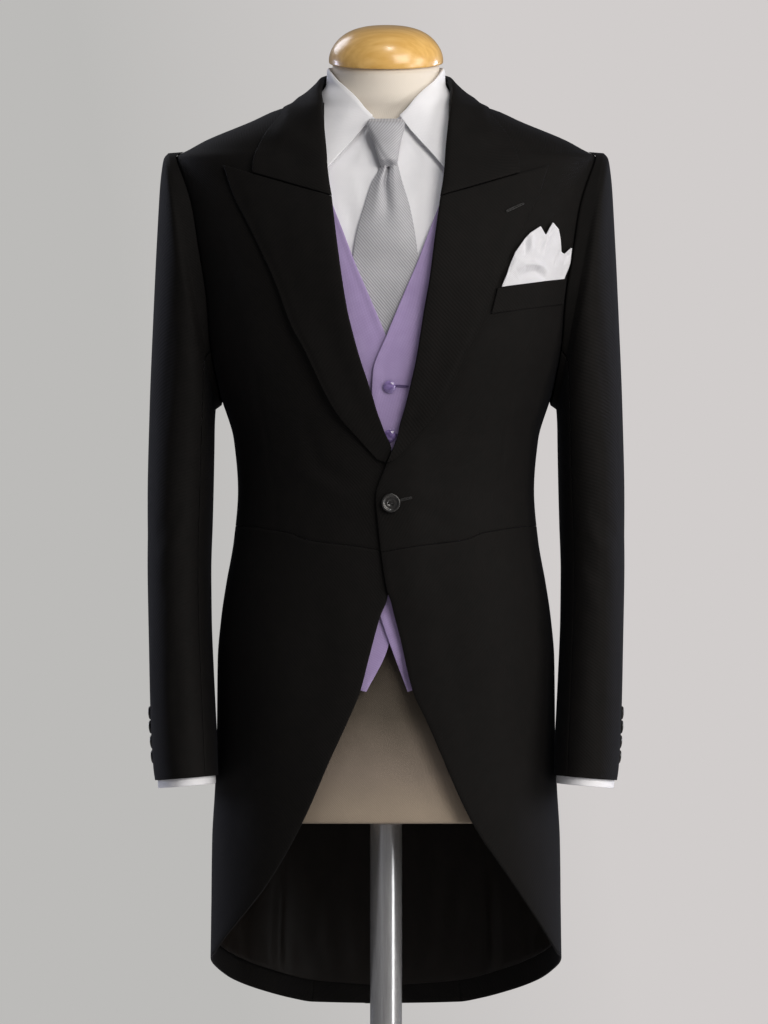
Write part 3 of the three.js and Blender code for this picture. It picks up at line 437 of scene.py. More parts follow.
def creased(creases: Sequence[Crease], angle: Array, z: Array) -> Array:
    """Adds up creases whose paths are given as angles and heights.

    Args:
        creases: the creases of the piece.
        angle: angles in degrees.
        z: heights in millimetres.

    Returns:
        Millimetres outwards.
    """
    across = evenly(angle) * SECTION_SPAN
    total = np.zeros(np.broadcast(angle, z).shape)
    for crease in creases:
        path = tuple((float(evenly(a)) * SECTION_SPAN, h) for a, h in crease.path)
        total = total + Crease(path, crease.depth, crease.width).lift(across, z)
    return total


def front_crease(body: Body, points: Sequence[Pair], depth: float, width: float) -> Crease:
    """A crease given by x and z on a body's front.

    Args:
        body: the body that carries the cloth.
        points: its path as x and z in millimetres.
        depth: millimetres outwards, below zero in a trough.
        width: how wide it is, in millimetres.

    Returns:
        The crease with its path as angles and heights.
    """
    return Crease(tuple((float(body.front_angle(x, z)), z) for x, z in points), depth, width)


# Meshes

PointAt = Callable[[Array, Array, Array], Array]
Outer = Callable[[Array, Array, Array, Array], Array]
Thickness = Callable[[Array, Array], Array] | float
EDGE_PROFILE = ((0.3, 0.91), (0.0, 0.5), (0.3, 0.09))


def shares(count: int) -> Array:
    """Even shares from 0 to 1."""
    return np.linspace(0, 1, count + 1)


def add_mesh(name: str, points: Array, faces: list, uv: Array | None = None) -> Piece:
    """Makes a smooth mesh object.

    Args:
        name: the piece's name.
        points: corners in millimetres.
        faces: corner numbers of each face.
        uv: a place on the cloth in metres for each corner.

    Returns:
        The new object, linked to the scene.
    """
    mesh = bpy.data.meshes.new(name)
    mesh.from_pydata((np.asarray(points, float) * MM).tolist(), [], faces)
    mesh.shade_smooth()
    if uv is not None:
        layer = mesh.uv_layers.new(name="cloth")
        corners = np.zeros(len(mesh.loops), np.int32)
        mesh.loops.foreach_get("vertex_index", corners)
        layer.data.foreach_set("uv", np.asarray(uv, np.float32)[corners].ravel())
    made = bpy.data.objects.new(name, mesh)
    bpy.context.scene.collection.objects.link(made)
    return made


def face_outwards(made: Piece) -> None:
    """Turns a closed mesh's faces so that they look out.

    Args:
        made: the object.
    """
    mesh = made.data
    corners = np.zeros(len(mesh.vertices) * 3)
    mesh.vertices.foreach_get("co", corners)
    corners = corners.reshape(-1, 3)
    mesh.calc_loop_triangles()
    triangles = np.zeros(len(mesh.loop_triangles) * 3, np.int32)
    mesh.loop_triangles.foreach_get("vertices", triangles)
    a, b, c = (corners[triangles.reshape(-1, 3)[:, k]] for k in range(3))
    if float(np.einsum("ij,ij->", a, np.cross(b, c))) < 0:
        mesh.flip_normals()


@dataclass
class Wall:
    """The fine mesh of one thin piece, with rounded edges, over shares u and v."""

    name: str
    us: Array
    vs: Array
    point_at: PointAt
    edge: float = 0.7
    ring: bool = False
    spans: Pair = field(default=(0.0, 0.0), init=False)
    flat_area: float = field(default=0.0, init=False)

    def _grid(self, inset: float, depth: float, u: Array, v: Array, steps: Pair) -> Array:
        """Points at shares that stop short of the piece's edges.

        Args:
            inset: how much of the edge's width is left off.
            depth: 0 on the inner face, 1 on the outer face.
            u: shares across.
            v: shares upwards.
            steps: the edge's width as shares across and upwards.

        Returns:
            Points in millimetres.
        """
        across, upward = steps[0] * inset, steps[1] * inset
        inset_u, inset_v = mix(across, 1 - across, u), mix(upward, 1 - upward, v)
        return self.point_at(inset_u, inset_v, np.full(u.shape, depth))

    def build(self) -> Piece:
        """Makes the object.

        Returns:
            A closed mesh with a place on the cloth for every corner.
        """
        wide, high = len(self.us), len(self.vs)
        u, v = np.meshgrid(self.us, self.vs)
        plain = self.point_at(u, v, np.ones(u.shape))
        rows = np.linalg.norm(np.diff(plain, axis=1), axis=-1)
        rises = np.linalg.norm(np.diff(plain, axis=0), axis=-1)
        width = float(rows.sum(1).mean())
        height = float(rises.sum(0).mean())
        self.spans = (float(rows.sum(1).max()), float(rises.sum(0).max()))
        self.flat_area = float((rows[:-1] * (rises[:, :-1] + rises[:, 1:]) / 2).sum())
        steps = (0.0 if self.ring else self.edge / width, self.edge / height)
        ids = np.arange(wide * high).reshape(high, wide)
        if self.ring:
            loops = [ids[0], ids[-1]]
        else:
            loops = [np.concatenate([ids[0, :-1], ids[:-1, -1], ids[-1, :0:-1], ids[:0:-1, 0]])]
        outer = self._grid(1, 1, u, v, steps).reshape(-1, 3)
        inner = self._grid(1, 0, u, v, steps).reshape(-1, 3)
        across = np.concatenate([np.zeros((high, 1)), np.cumsum(rows, axis=1)], axis=1)
        across -= across[:, wide // 2 : wide // 2 + 1]
        climb = np.concatenate([[0.0], np.cumsum(rises.mean(1))])
        upward = np.broadcast_to(climb[:, None], across.shape)
        place = np.stack([across, upward], -1).reshape(-1, 2) * MM
        points, places = [outer, inner], [place, place]
        faces = self._faces(ids, False) + self._faces(ids + wide * high, True)
        start = 2 * wide * high
        for loop in loops:
            bands = [loop]
            for inset, depth in EDGE_PROFILE:
                points.append(self._grid(inset, depth, u.ravel()[loop], v.ravel()[loop], steps))
                places.append(place[loop])
                bands.append(start + np.arange(len(loop)))
                start += len(loop)
            bands.append(loop + wide * high)
            for low, top in zip(bands, bands[1:]):
                quads = np.stack([np.roll(low, -1), low, top, np.roll(top, -1)], 1)
                backward = self.ring and loop is loops[1]
                faces += (quads[:, ::-1] if backward else quads).tolist()
        made = add_mesh(self.name, np.concatenate(points), faces, np.concatenate(places))
        face_outwards(made)
        return made

    def _faces(self, ids: Array, backward: bool) -> list:
        """The faces of a grid of corner numbers.

        Args:
            ids: corner numbers, one row for each height.
            backward: whether they face the other way.

        Returns:
            Lists of four corner numbers.
        """
        grid = np.concatenate([ids, ids[:, :1]], axis=1) if self.ring else ids
        quads = np.stack([grid[:-1, :-1], grid[:-1, 1:], grid[1:, 1:], grid[1:, :-1]], -1).reshape(-1, 4)
        return (quads[:, ::-1] if backward else quads).tolist()


def loft(name: str, rings: Array, capped: bool = True) -> Piece:
    """A closed skin over rings of points.

    Args:
        name: the piece's name.
        rings: points in millimetres, by ring and place.
        capped: whether both ends get a middle point.

    Returns:
        The new object.
    """
    high, wide = rings.shape[:2]
    ids = np.arange(high * wide).reshape(high, wide)
    nexts = np.roll(ids, -1, axis=1)
    quads = np.stack([ids[:-1], nexts[:-1], nexts[1:], ids[1:]], -1).reshape(-1, 4).tolist()
    points = rings.reshape(-1, 3)
    if capped:
        ends = np.stack([rings[0].mean(0), rings[-1].mean(0)])
        points = np.concatenate([points, ends])
        foot, head = high * wide, high * wide + 1
        quads += [[foot, int(b), int(a)] for a, b in zip(ids[0], nexts[0])]
        quads += [[head, int(a), int(b)] for a, b in zip(ids[-1], nexts[-1])]
    around = np.linalg.norm(rings - np.roll(rings, 1, axis=1), axis=-1).cumsum(1)
    rise = np.concatenate([np.zeros(1), np.linalg.norm(np.diff(rings, axis=0), axis=-1).mean(1).cumsum()])
    uv = np.stack([around, np.broadcast_to(rise[:, None], around.shape)], -1).reshape(-1, 2) * MM
    if capped:
        uv = np.concatenate([uv, uv[:1], uv[-1:]])
    made = add_mesh(name, points, quads, uv)
    face_outwards(made)
    return made


def tube(name: str, path: Array, radius: float, sides: int = 6) -> Piece:
    """A thin round strand, such as a thread, along a path.

    Args:
        name: the piece's name.
        path: its points in millimetres.
        radius: its radius in millimetres.
        sides: corners round the strand.

    Returns:
        The new object.
    """
    steps = np.gradient(path, axis=0)
    steps /= np.linalg.norm(steps, axis=-1, keepdims=True)
    aside = np.cross(steps, np.array([0.31, -0.9, 0.29]))
    aside /= np.linalg.norm(aside, axis=-1, keepdims=True)
    other = np.cross(steps, aside)
    turn = np.linspace(0, 2 * np.pi, sides, endpoint=False)
    ring = aside[:, None] * np.cos(turn)[None, :, None] + other[:, None] * np.sin(turn)[None, :, None]
    return loft(name, path[:, None] + ring * radius)


def lathe(name: str, profile: Sequence[Pair], segments: int = 96) -> Piece:
    """Turns a profile about the upright axis.

    Args:
        name: the piece's name.
        profile: radius and height, from the bottom middle to the top middle.
        segments: corners round the axis.

    Returns:
        The new object.
    """
    turn = np.linspace(0, 2 * np.pi, segments, endpoint=False)
    rings = [np.stack([r * np.cos(turn), r * np.sin(turn), np.full(segments, z)], -1) for r, z in profile]
    return loft(name, np.array(rings))


# Finishes


def linear(hex_colour: str) -> tuple[float, float, float, float]:
    """Turns an sRGB hex colour into linear light.

    Args:
        hex_colour: six hex digits after a hash.

    Returns:
        Red, green, blue and an alpha of 1.
    """
    found = []
    for k in (1, 3, 5):
        part = int(hex_colour[k : k + 2], 16) / 255
        found.append(part / 12.92 if part <= 0.04045 else ((part + 0.055) / 1.055) ** 2.4)
    return (found[0], found[1], found[2], 1.0)


def add_node(tree: Tree, kind: str, inputs: dict | None = None, **settings: Any) -> Node:
    """Adds a node with its settings, and sets or links its inputs.

    Args:
        tree: the tree that gets it.
        kind: Blender's name of the node.
        inputs: a value or another node's socket for each input, by name or number.
        settings: the node's own settings.

    Returns:
        The node.
    """
    made = tree.nodes.new(kind)
    for name, value in settings.items():
        setattr(made, name, value)
    for key, value in (inputs or {}).items():
        if isinstance(value, Socket):
            tree.links.new(value, made.inputs[key])
        else:
            made.inputs[key].default_value = value
    return made


def new_material(name: str, settings: dict) -> tuple[Tree, Node]:
    """Starts a material with one shader.

    Args:
        name: the material's name.
        settings: values of the shader's sockets.

    Returns:
        The tree and its shader.
    """
    made = bpy.data.materials.new(name)
    made.use_nodes = True
    made.node_tree.nodes.clear()
    shader = add_node(made.node_tree, "ShaderNodeBsdfPrincipled", settings)
    add_node(made.node_tree, "ShaderNodeOutputMaterial", {"Surface": shader.outputs[0]})
    return made.node_tree, shader


def threads(tree: Tree, pitch_mm: float, slant: Pair) -> Socket:
    """Rows of threads on the cloth's own plane.

    Args:
        tree: the material's tree.
        pitch_mm: the distance from one thread to the next.
        slant: the direction across the threads.

    Returns:
        A height from -1 to 1.
    """
    turns = 2 * np.pi / (pitch_mm * MM) / float(np.hypot(*slant))
    place = add_node(tree, "ShaderNodeUVMap", uv_map="cloth")
    steps = {0: place.outputs[0], 1: (slant[0] * turns, slant[1] * turns, 0)}
    across = add_node(tree, "ShaderNodeVectorMath", steps, operation="DOT_PRODUCT")
    return add_node(tree, "ShaderNodeMath", {0: across.outputs["Value"]}, operation="SINE").outputs[0]


def mottle(tree: Tree, grain_mm: float, detail: float = 3.0) -> Socket:
    """Soft uneven patches through the solid space of the object.

    Args:
        tree: the material's tree.
        grain_mm: the rough size of a patch.
        detail: how many finer layers it has.

    Returns:
        A share from 0 to 1.
    """
    place = add_node(tree, "ShaderNodeTexCoord")
    grain = {"Vector": place.outputs["Object"], "Scale": 1000 / grain_mm, "Detail": detail}
    grain["Roughness"] = 0.55
    return add_node(tree, "ShaderNodeTexNoise", grain).outputs["Fac"]


def two_tones(tree: Tree, share: Socket, low: str, high: str) -> Socket:
    """Blends two colours by a share.

    Args:
        tree: the material's tree.
        share: where it is read.
        low: the colour at 0.3 of the share and below.
        high: the colour at 0.7 and above.

    Returns:
        The colour.
    """
    ramp = add_node(tree, "ShaderNodeValToRGB", {"Fac": share})
    ramp.color_ramp.elements[0].position, ramp.color_ramp.elements[1].position = 0.3, 0.7
    ramp.color_ramp.elements[0].color, ramp.color_ramp.elements[1].color = linear(low), linear(high)
    return ramp.outputs["Color"]


def surfaced(
    finish: Any, tree: Tree, shader: Node, colour: Socket, height: Socket, relief_mm: float
) -> Material:
    """Gives a finish's shader its colour and its relief.

    Args:
        finish: the finish, for its name.
        tree: the material's tree.
        shader: the material's shader.
        colour: where the colour is read.
        height: where the relief is read, with 1 for its full height.
        relief_mm: the full height.

    Returns:
        The material.
    """
    tree.links.new(colour, shader.inputs["Base Color"])
    relief = {"Height": height, "Distance": relief_mm * MM, "Strength": 1.0}
    tree.links.new(add_node(tree, "ShaderNodeBump", relief).outputs[0], shader.inputs["Normal"])
    return bpy.data.materials[finish.name]


@dataclass(frozen=True)
class WovenCloth:
    """A woven cloth: its two tones, its sheen and its threads."""

    name: str
    low: str
    high: str
    roughness: float
    sheen: float
    sheen_tint: str
    pitch_mm: float
    slant: Pair
    cross: Pair | None
    relief_mm: float
    specular: float = 0.3
    grain_mm: float = 14.0
    sheen_roughness: float = 0.4
    patches: float = 0.6
    lines: float = 0.16

    def build(self) -> Material:
        """Makes the material.

        Returns:
            The material, woven on the cloth's own plane.
        """
        tree, shader = new_material(
            self.name,
            {
                "Roughness": self.roughness,
                "Sheen Weight": self.sheen,
                "Sheen Roughness": self.sheen_roughness,
                "Sheen Tint": linear(self.sheen_tint),
                "Specular IOR Level": self.specular,
            },
        )
        patches = mottle(tree, self.grain_mm)
        weave = threads(tree, self.pitch_mm, self.slant)
        if self.cross is not None:
            other = threads(tree, self.pitch_mm, self.cross)
            weave = add_node(tree, "ShaderNodeMath", {0: weave, 1: other}, operation="MULTIPLY").outputs[0]
        calming = {0: patches, 1: self.patches, 2: 0.5 - self.patches / 2}
        calm = add_node(tree, "ShaderNodeMath", calming, operation="MULTIPLY_ADD")
        lifting = {0: weave, 1: self.lines, 2: calm.outputs[0]}
        lifted = add_node(tree, "ShaderNodeMath", lifting, operation="MULTIPLY_ADD")
        colour = two_tones(tree, lifted.outputs[0], self.low, self.high)
        slubs = mottle(tree, 2.2, 2.0)
        height = add_node(tree, "ShaderNodeMath", {0: slubs, 1: 0.8, 2: weave}, operation="MULTIPLY_ADD")
        return surfaced(self, tree, shader, colour, height.outputs[0], self.relief_mm)


@dataclass(frozen=True)
class FormJersey:
    """Natural linen jersey stretched on the form: cream at the neck, greyer below the waist, with painted
    shade that darkens it upwards to just under the waistcoat.
    """

    name: str = "natural_linen_jersey"
    # From the form's bottom up to just under the waistcoat's hem the tones darken: painted shade from the
    # coat and waistcoat above.
    tones: tuple[tuple[float, str], ...] = (
        (0.76, "#9b8d7c"),
        (0.81, "#82766a"),
        (0.87, "#544c42"),
        (0.94, "#342d26"),
        (1.10, "#b9ad9e"),
        (1.45, "#e6ddd0"),
    )

    def build(self) -> Material:
        """Makes the material.

        Returns:
            The material, with its tone running down the form.
        """
        tree, shader = new_material(
            self.name,
            {"Roughness": 0.85, "Sheen Weight": 0.15, "Sheen Roughness": 0.5, "Specular IOR Level": 0.25},
        )
        place = add_node(tree, "ShaderNodeTexCoord")
        parts = add_node(tree, "ShaderNodeSeparateXYZ", {0: place.outputs["Object"]})
        low, high = self.tones[0][0], self.tones[-1][0]
        span = {"Value": parts.outputs["Z"], "From Min": low, "From Max": high}
        height = add_node(tree, "ShaderNodeMapRange", span)
        wavering = {0: mottle(tree, 30), 1: 0.03, 2: height.outputs[0]}
        share = add_node(tree, "ShaderNodeMath", wavering, operation="MULTIPLY_ADD")
        ramp = add_node(tree, "ShaderNodeValToRGB", {"Fac": share.outputs[0]})
        stops = ramp.color_ramp.elements
        for z, _ in self.tones[1:-1]:
            stops.new((z - low) / (high - low))
        for stop, (_, tone) in zip(stops, self.tones):
            stop.color = linear(tone)
        # A knit rib of about 1 mm is too fine for the picture, so it is drawn at 2.4 mm.
        ribs = {0: threads(tree, 2.4, (1, 0)), 1: threads(tree, 2.4, (0, 1))}
        knit = add_node(tree, "ShaderNodeMath", ribs, operation="MULTIPLY")
        slubs = {0: mottle(tree, 3), 1: 1.5, 2: knit.outputs[0]}
        rough = add_node(tree, "ShaderNodeMath", slubs, operation="MULTIPLY_ADD")
        return surfaced(self, tree, shader, ramp.outputs["Color"], rough.outputs[0], 0.05)


@dataclass(frozen=True)
class VarnishedBeech:
    """Turned beech under amber varnish: warm rings of grain and a hard clear shine."""

    name: str = "varnished_beech"
    light: str = "#f0c273"
    dark: str = "#dba955"
    grain_mm: float = 4.5

    def build(self) -> Material:
        """Makes the material.

        Returns:
            The material, with growth rings through the wood.
        """
        tree, shader = new_material(
            self.name,
            {"Roughness": 0.38, "Coat Weight": 1.0, "Coat Roughness": 0.2, "Coat IOR": 1.45, "IOR": 1.5},
        )
        place = add_node(tree, "ShaderNodeTexCoord")
        stretch = {"Vector": place.outputs["Object"], "Scale": (0.12, 1.0, 0.5)}
        wood = add_node(tree, "ShaderNodeMapping", stretch).outputs[0]
        rings = {"Vector": wood, "Scale": 1000 / self.grain_mm, "Detail": 4.0, "Roughness": 0.5}
        grain = add_node(tree, "ShaderNodeTexNoise", rings).outputs["Fac"]
        return surfaced(self, tree, shader, two_tones(tree, grain, self.dark, self.light), grain, 0.03)


@dataclass(frozen=True)
class BrushedSteel:
    """Satin steel tube and plate: fine brushing along the tube spreads the highlight."""

    name: str = "brushed_steel"
    tone: str = "#b4b4b5"
    bright: str = "#c8c8c9"

    def build(self) -> Material:
        """Makes the material.

        Returns:
            The material, brushed along Z.
        """
        tree, shader = new_material(self.name, {"Metallic": 0.75, "Roughness": 0.26})
        place = add_node(tree, "ShaderNodeTexCoord")
        stretch = {"Vector": place.outputs["Object"], "Scale": (1.0, 1.0, 0.03)}
        steel = add_node(tree, "ShaderNodeMapping", stretch).outputs[0]
        scratches = {"Vector": steel, "Scale": 900.0, "Detail": 3.0}
        lines = add_node(tree, "ShaderNodeTexNoise", scratches).outputs["Fac"]
        return surfaced(self, tree, shader, two_tones(tree, lines, self.tone, self.bright), lines, 0.01)


@dataclass(frozen=True)
class PolishedButton:
    """A polished button: cloudy colour in depth under a smooth clear face."""

    name: str
    low: str
    high: str
    roughness: float
    coat: float

    def build(self) -> Material:
        """Makes the material.

        Returns:
            The material.
        """
        tree, shader = new_material(
            self.name,
            {"Roughness": self.roughness, "Coat Weight": self.coat, "Coat Roughness": 0.12, "IOR": 1.5},
        )
        colour = two_tones(tree, mottle(tree, 5), self.low, self.high)
        return surfaced(self, tree, shader, colour, mottle(tree, 1.5), 0.02)


@dataclass(frozen=True)
class StageMatt:
    """Matt painted floor of the photo studio, with a barely uneven tone."""

    name: str = "matt_studio_paint"
    low: str = "#cfcdcb"
    high: str = "#d6d4d2"

    def build(self) -> Material:
        """Makes the material.

        Returns:
            The material.
        """
        tree, shader = new_material(self.name, {"Roughness": 0.9, "Specular IOR Level": 0.2})
        colour = two_tones(tree, mottle(tree, 600), self.low, self.high)
        tree.links.new(colour, shader.inputs["Base Color"])
        return bpy.data.materials[self.name]


# A worsted yarn is about 0.5 mm across, under half a pixel, so its twill is drawn at 2.6 mm.
COAT_WOOL = WovenCloth(
    "worsted_wool", "#0d0c0b", "#12100f", 0.75, 0.035, "#9aa0b4", 2.6, (1, 1), None, 0.05, specular=0.1
)
# Smooth satin lining: long floats give a soft lengthwise shine.
COAT_LINING = WovenCloth(
    "satin_lining", "#120f0c", "#171310", 0.45, 0.02, "#a8a29c", 1.8, (1, 0), None, 0.02, specular=0.14
)
# Fine mauve cloth: a faint plain weave with a low sheen that lightens it at the turns.
WAISTCOAT_CLOTH = WovenCloth(
    "mauve_worsted", "#9a87b4", "#ab99c4", 0.62, 0.25, "#d9cfe8", 2.2, (1, 0.5), (-0.5, 1), 0.05,
    patches=0.35,
)
# Poplin threads are 0.2 mm, so only a soft unevenness is left of them at this size.
SHIRT_POPLIN = WovenCloth(
    "cotton_poplin", "#e6e6ea", "#efeff2", 0.78, 0.08, "#ffffff", 2.0, (1, 0), (0, 1), 0.02, patches=0.3
)
# Silk rep: ribs about 1.2 mm apart, drawn at 2.5 mm as the picture shows them.
TIE_SILK = WovenCloth(
    "silk_rep", "#95959a", "#bebec3", 0.45, 0.35, "#f4f4ff", 2.5, (1.19, 1), None, 0.08,
    specular=0.5, grain_mm=20.0, sheen_roughness=0.3, patches=0.2, lines=0.15,
)
# Hand-rolled white linen: crisp, with slubs.
SQUARE_LINEN = WovenCloth(
    "white_linen", "#cbcbd0", "#d9d9dd", 0.8, 0.1, "#ffffff", 1.8, (1, 0), (0, 1), 0.04
)
# Silk twist of the buttonholes: its colour is painted a little brighter than the wool, as painted sheen.
BUTTONHOLE_TWIST = WovenCloth(
    "silk_twist", "#1c1b1a", "#262523", 0.5, 0.3, "#a0a0a8", 1.0, (1, 1), None, 0.05
)
MAUVE_TWIST = WovenCloth(
    "mauve_twist", "#5c4a78", "#6d5a8b", 0.5, 0.3, "#cfc2e6", 1.0, (1, 1), None, 0.05
)
COAT_HORN = PolishedButton("polished_horn", "#131211", "#22201e", 0.36, 0.35)
MAUVE_BUTTON = PolishedButton("mauve_shell_button", "#523f74", "#927db7", 0.12, 1.0)


# How finished meshes join the frame


@dataclass(frozen=True)
class Cut:
    """How a sheet of cloth was cut and how it is held."""

    held: str
    rests_on: tuple[str, ...]


class Dresser:
    """Gives each finished mesh its body and material, and hides the node that it stands for."""

    def __init__(self) -> None:
        """Starts with no materials made."""
        self.materials: dict[str, Material] = {}
        self.count = 0

    def material(self, finish: Any) -> Material:
        """The material of a finish, made once.

        Args:
            finish: one of the finish objects.

        Returns:
            The Blender material.
        """
        if finish.name not in self.materials:
            self.materials[finish.name] = finish.build()
        return self.materials[finish.name]

    def dress(self, piece: Piece, finish: Any, node: str | None = None) -> Piece:
        """Finishes a piece and joins it to the frame.

        Args:
            piece: the new object.
            finish: its finish.
            node: the CAD node that it stands for.

        Returns:
            The same object.
        """
        piece.data.materials.clear()
        piece.data.materials.append(self.material(finish))
        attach(piece, "root")
        if node is not None:
            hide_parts(node)
        self.count += 1
        LOG.info("%s: %d faces, %s", piece.name, len(piece.data.polygons), finish.name)
        return piece

    def cloth(self, wall: Wall, finish: Any, slot: str, cut: Cut) -> Piece:
        """Builds and finishes a sheet of cloth, for the node with its name less the last word.

        Args:
            wall: its mesh.
            finish: its finish.
            slot: not used.
            cut: how it is held, and on what.

        Returns:
            The new object.
        """
        piece = self.dress(wall.build(), finish, wall.name.rsplit("_", 1)[0])
        width, length = (round(span * MM, 3) for span in wall.spans)
        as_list(cut.rests_on)
        return piece


# Stand and form


@dataclass
class Stand:
    """The steel pole and its round plate."""

    base_radius: float = 175
    base_thickness: float = 10
    hub_radius: float = 34
    hub_height: float = 46
    pole_radius: float = 16.6
    pole_top: float = 747

    def build(self, dresser: Dresser) -> None:
        """Makes the plate, the pole and its collar.

        Args:
            dresser: gives the pieces their finish.
        """
        bore = self.pole_radius + 0.7
        thick, radius = self.base_thickness, self.base_radius
        hub, top = self.hub_radius, self.hub_height
        plate = [(0.5, 0), (radius - 2, 0), (radius - 0.6, 0.6), (radius, 2), (radius, thick - 4)]
        plate += [(radius - 0.8, thick - 1.6), (radius - 3, thick - 0.2), (radius - 6, thick + 0.1)]
        plate += [(hub + 8, thick + 2), (hub, thick + 3.2), (hub - 3, thick + 6), (hub - 7.6, top - 3)]
        plate += [(hub - 9.5, top), (bore + 0.6, top), (bore, top - 0.8)]
        plate += [(bore, thick - 1), (0.5, thick - 1)]
        steel = BrushedSteel()
        dresser.dress(lathe("stand_plate", plate), steel, "stand_base")
        foot = thick - 0.6
        tube_profile = [(0.5, foot), (self.pole_radius - 0.4, foot), (self.pole_radius, foot + 0.5)]
        tube_profile += [(self.pole_radius, z) for z in np.linspace(60, self.pole_top - 2, 24)]
        tube_profile += [(self.pole_radius, self.pole_top - 0.9), (0.5, self.pole_top - 0.7)]
        dresser.dress(lathe("stand_tube", tube_profile, 72), steel, "stand_pole")


@dataclass
class DressForm:
    """The linen torso without limbs, and the turned cap on its neck."""

    bottom: float = 747
    neck_front: float = 1531
    neck_tilt: float = 0.131
    cap_height: float = 39
    points_round: int = 144

    def cut_height(self, y: Any) -> Any:
        """The height of the tilted cut through the neck at a depth y."""
        return self.neck_front + self.neck_tilt * (y - FORM.front(self.neck_front))

    def ring(self, heights: Array, inward: float = 0.0) -> Array:
        """One ring of the torso.

        Args:
            heights: the height at each point, or one height.
            inward: how far it lies inside the form's skin.

        Returns:
            Points in millimetres.
        """
        turned = unevenly(np.linspace(0, 2 * np.pi, self.points_round, endpoint=False))
        half = np.where(np.abs(turned) > 90, np.sign(turned) * 180 - turned, turned)
        z = heights(half) if callable(heights) else np.full(half.shape, float(heights))
        under = -1.2 * ease(z, 960, 1010) - 4.4 * ease(z, 960, 1010) * (1 - ease(z, 1488, 1502))
        seams = -0.7 * (hump(half, 88.5, 0.55) + hump(half, -90, 0.8)) - 0.5 * hump(half, 52, 0.7)
        seams = seams - 0.5 * (hump(half, -52, 0.7) + hump(half, 0, 0.7))
        relief = np.where(np.abs(turned) > 90, seams + 0.7 * hump(half, 88.5, 0.55), seams)
        points = FORM.out(half, z, under + relief * (1 - ease(z, 1440, 1500)) - inward)
        points[..., 0] *= np.where(np.abs(turned) > 90, -1, 1)
        return points

    def torso(self) -> Piece:
        """The torso, from its flat underside to the cut of the neck.

        Returns:
            The new object.
        """
        rings = []
        for inward, height in ((60, 0), (20, 0), (3, 0), (1, 0.3), (0.2, 1.2)):
            rings.append(self.ring(self.bottom + height, inward))
        rings += [self.ring(z) for z in np.linspace(self.bottom + 3, 1518, 130)]

        def top(angle: Array) -> Array:
            """The cut's height at each angle of the neck."""
            return self.cut_height(FORM.skin(angle, self.neck_front)[..., 1])

        rings.append(self.ring(lambda angle: mix(1518, top(angle), 0.5)))
        rings.append(self.ring(top))
        rings.append(self.ring(top, 1.2))
        return loft("form_torso_linen", np.array(rings))

    def cap(self) -> Piece:
        """The turned cap, tilted with the neck's cut.

        Returns:
            The new object.
        """
        shape = Curve(
            [0, 1, 4, 8, 13, 20, 27, 33, 37, 38.6, self.cap_height],
            [59, 59.6, 59.6, 59, 57.4, 53.4, 47, 37.5, 25, 12, 1],
        )
        heights = np.concatenate([np.linspace(0, 30, 40), self.cap_height - 9 * (1 - shares(24)[1:]) ** 2])
        turn = np.linspace(0, 2 * np.pi, 96, endpoint=False)
        depth = (FORM.back(self.neck_front) - FORM.front(self.neck_front)) / 2
        squash = float(depth / FORM.half(self.neck_front))
        middle = float((FORM.back(self.neck_front) + FORM.front(self.neck_front)) / 2)
        rings = [np.stack([np.cos(turn), np.sin(turn) * squash, np.zeros(96)], -1)]
        rings += [
            np.stack([shape(z) * np.cos(turn), shape(z) * np.sin(turn) * squash, np.full(96, z)], -1)
            for z in heights
        ]
        points = np.array(rings)
        tilt = float(np.arctan(self.neck_tilt))
        y = points[..., 1] * np.cos(tilt) - points[..., 2] * np.sin(tilt)
        z = points[..., 1] * np.sin(tilt) + points[..., 2] * np.cos(tilt)
        points[..., 1] = y + middle
        points[..., 2] = z + float(self.cut_height(middle)) + 2 * SEAM_GAP
        return loft("form_cap_wood", points)

    def build(self, dresser: Dresser) -> None:
        """Makes the torso and the cap."""
        dresser.dress(self.torso(), FormJersey(), "form_torso")
        dresser.dress(self.cap(), VarnishedBeech(), "form_cap")


# Coat


def on_side(points: Array, side: Side) -> Array:
    """Mirrors points of the left half onto the chosen half."""
    points[..., 0] *= side.value
    return points


def panel_points(
    body: Body, side: Side | None, place: Place, outer: Outer | float, thickness: Thickness
) -> PointAt:
    """The points of a panel on one half of a body, or of a piece that runs across both halves.

    Args:
        body: the body that carries it.
        side: the half, or None for a piece with u from 0 to 1 over the whole of it.
        place: gives a spot on the left half from shares.
        outer: how far out the outer face lies, or a function of the angle, height and shares.
        thickness: the cloth's thickness, or a function of the shares.

    Returns:
        A function from shares and depth to points.
    """

    def point_at(u: Array, v: Array, depth: Array) -> Array:
        """Gives the points at shares u and v and a depth in the cloth."""
        across = u if side else 2 * u - 1
        share = np.abs(across)
        angle, z = place(share, v)
        thick = thickness(share, v) if callable(thickness) else thickness
        lift = outer(angle, z, across, v) if callable(outer) else outer
        points = body.out(angle, z, lift - (1 - depth) * thick)
        points[..., 0] *= side.value if side else np.where(across < 0, -1, 1)
        return points

    return point_at


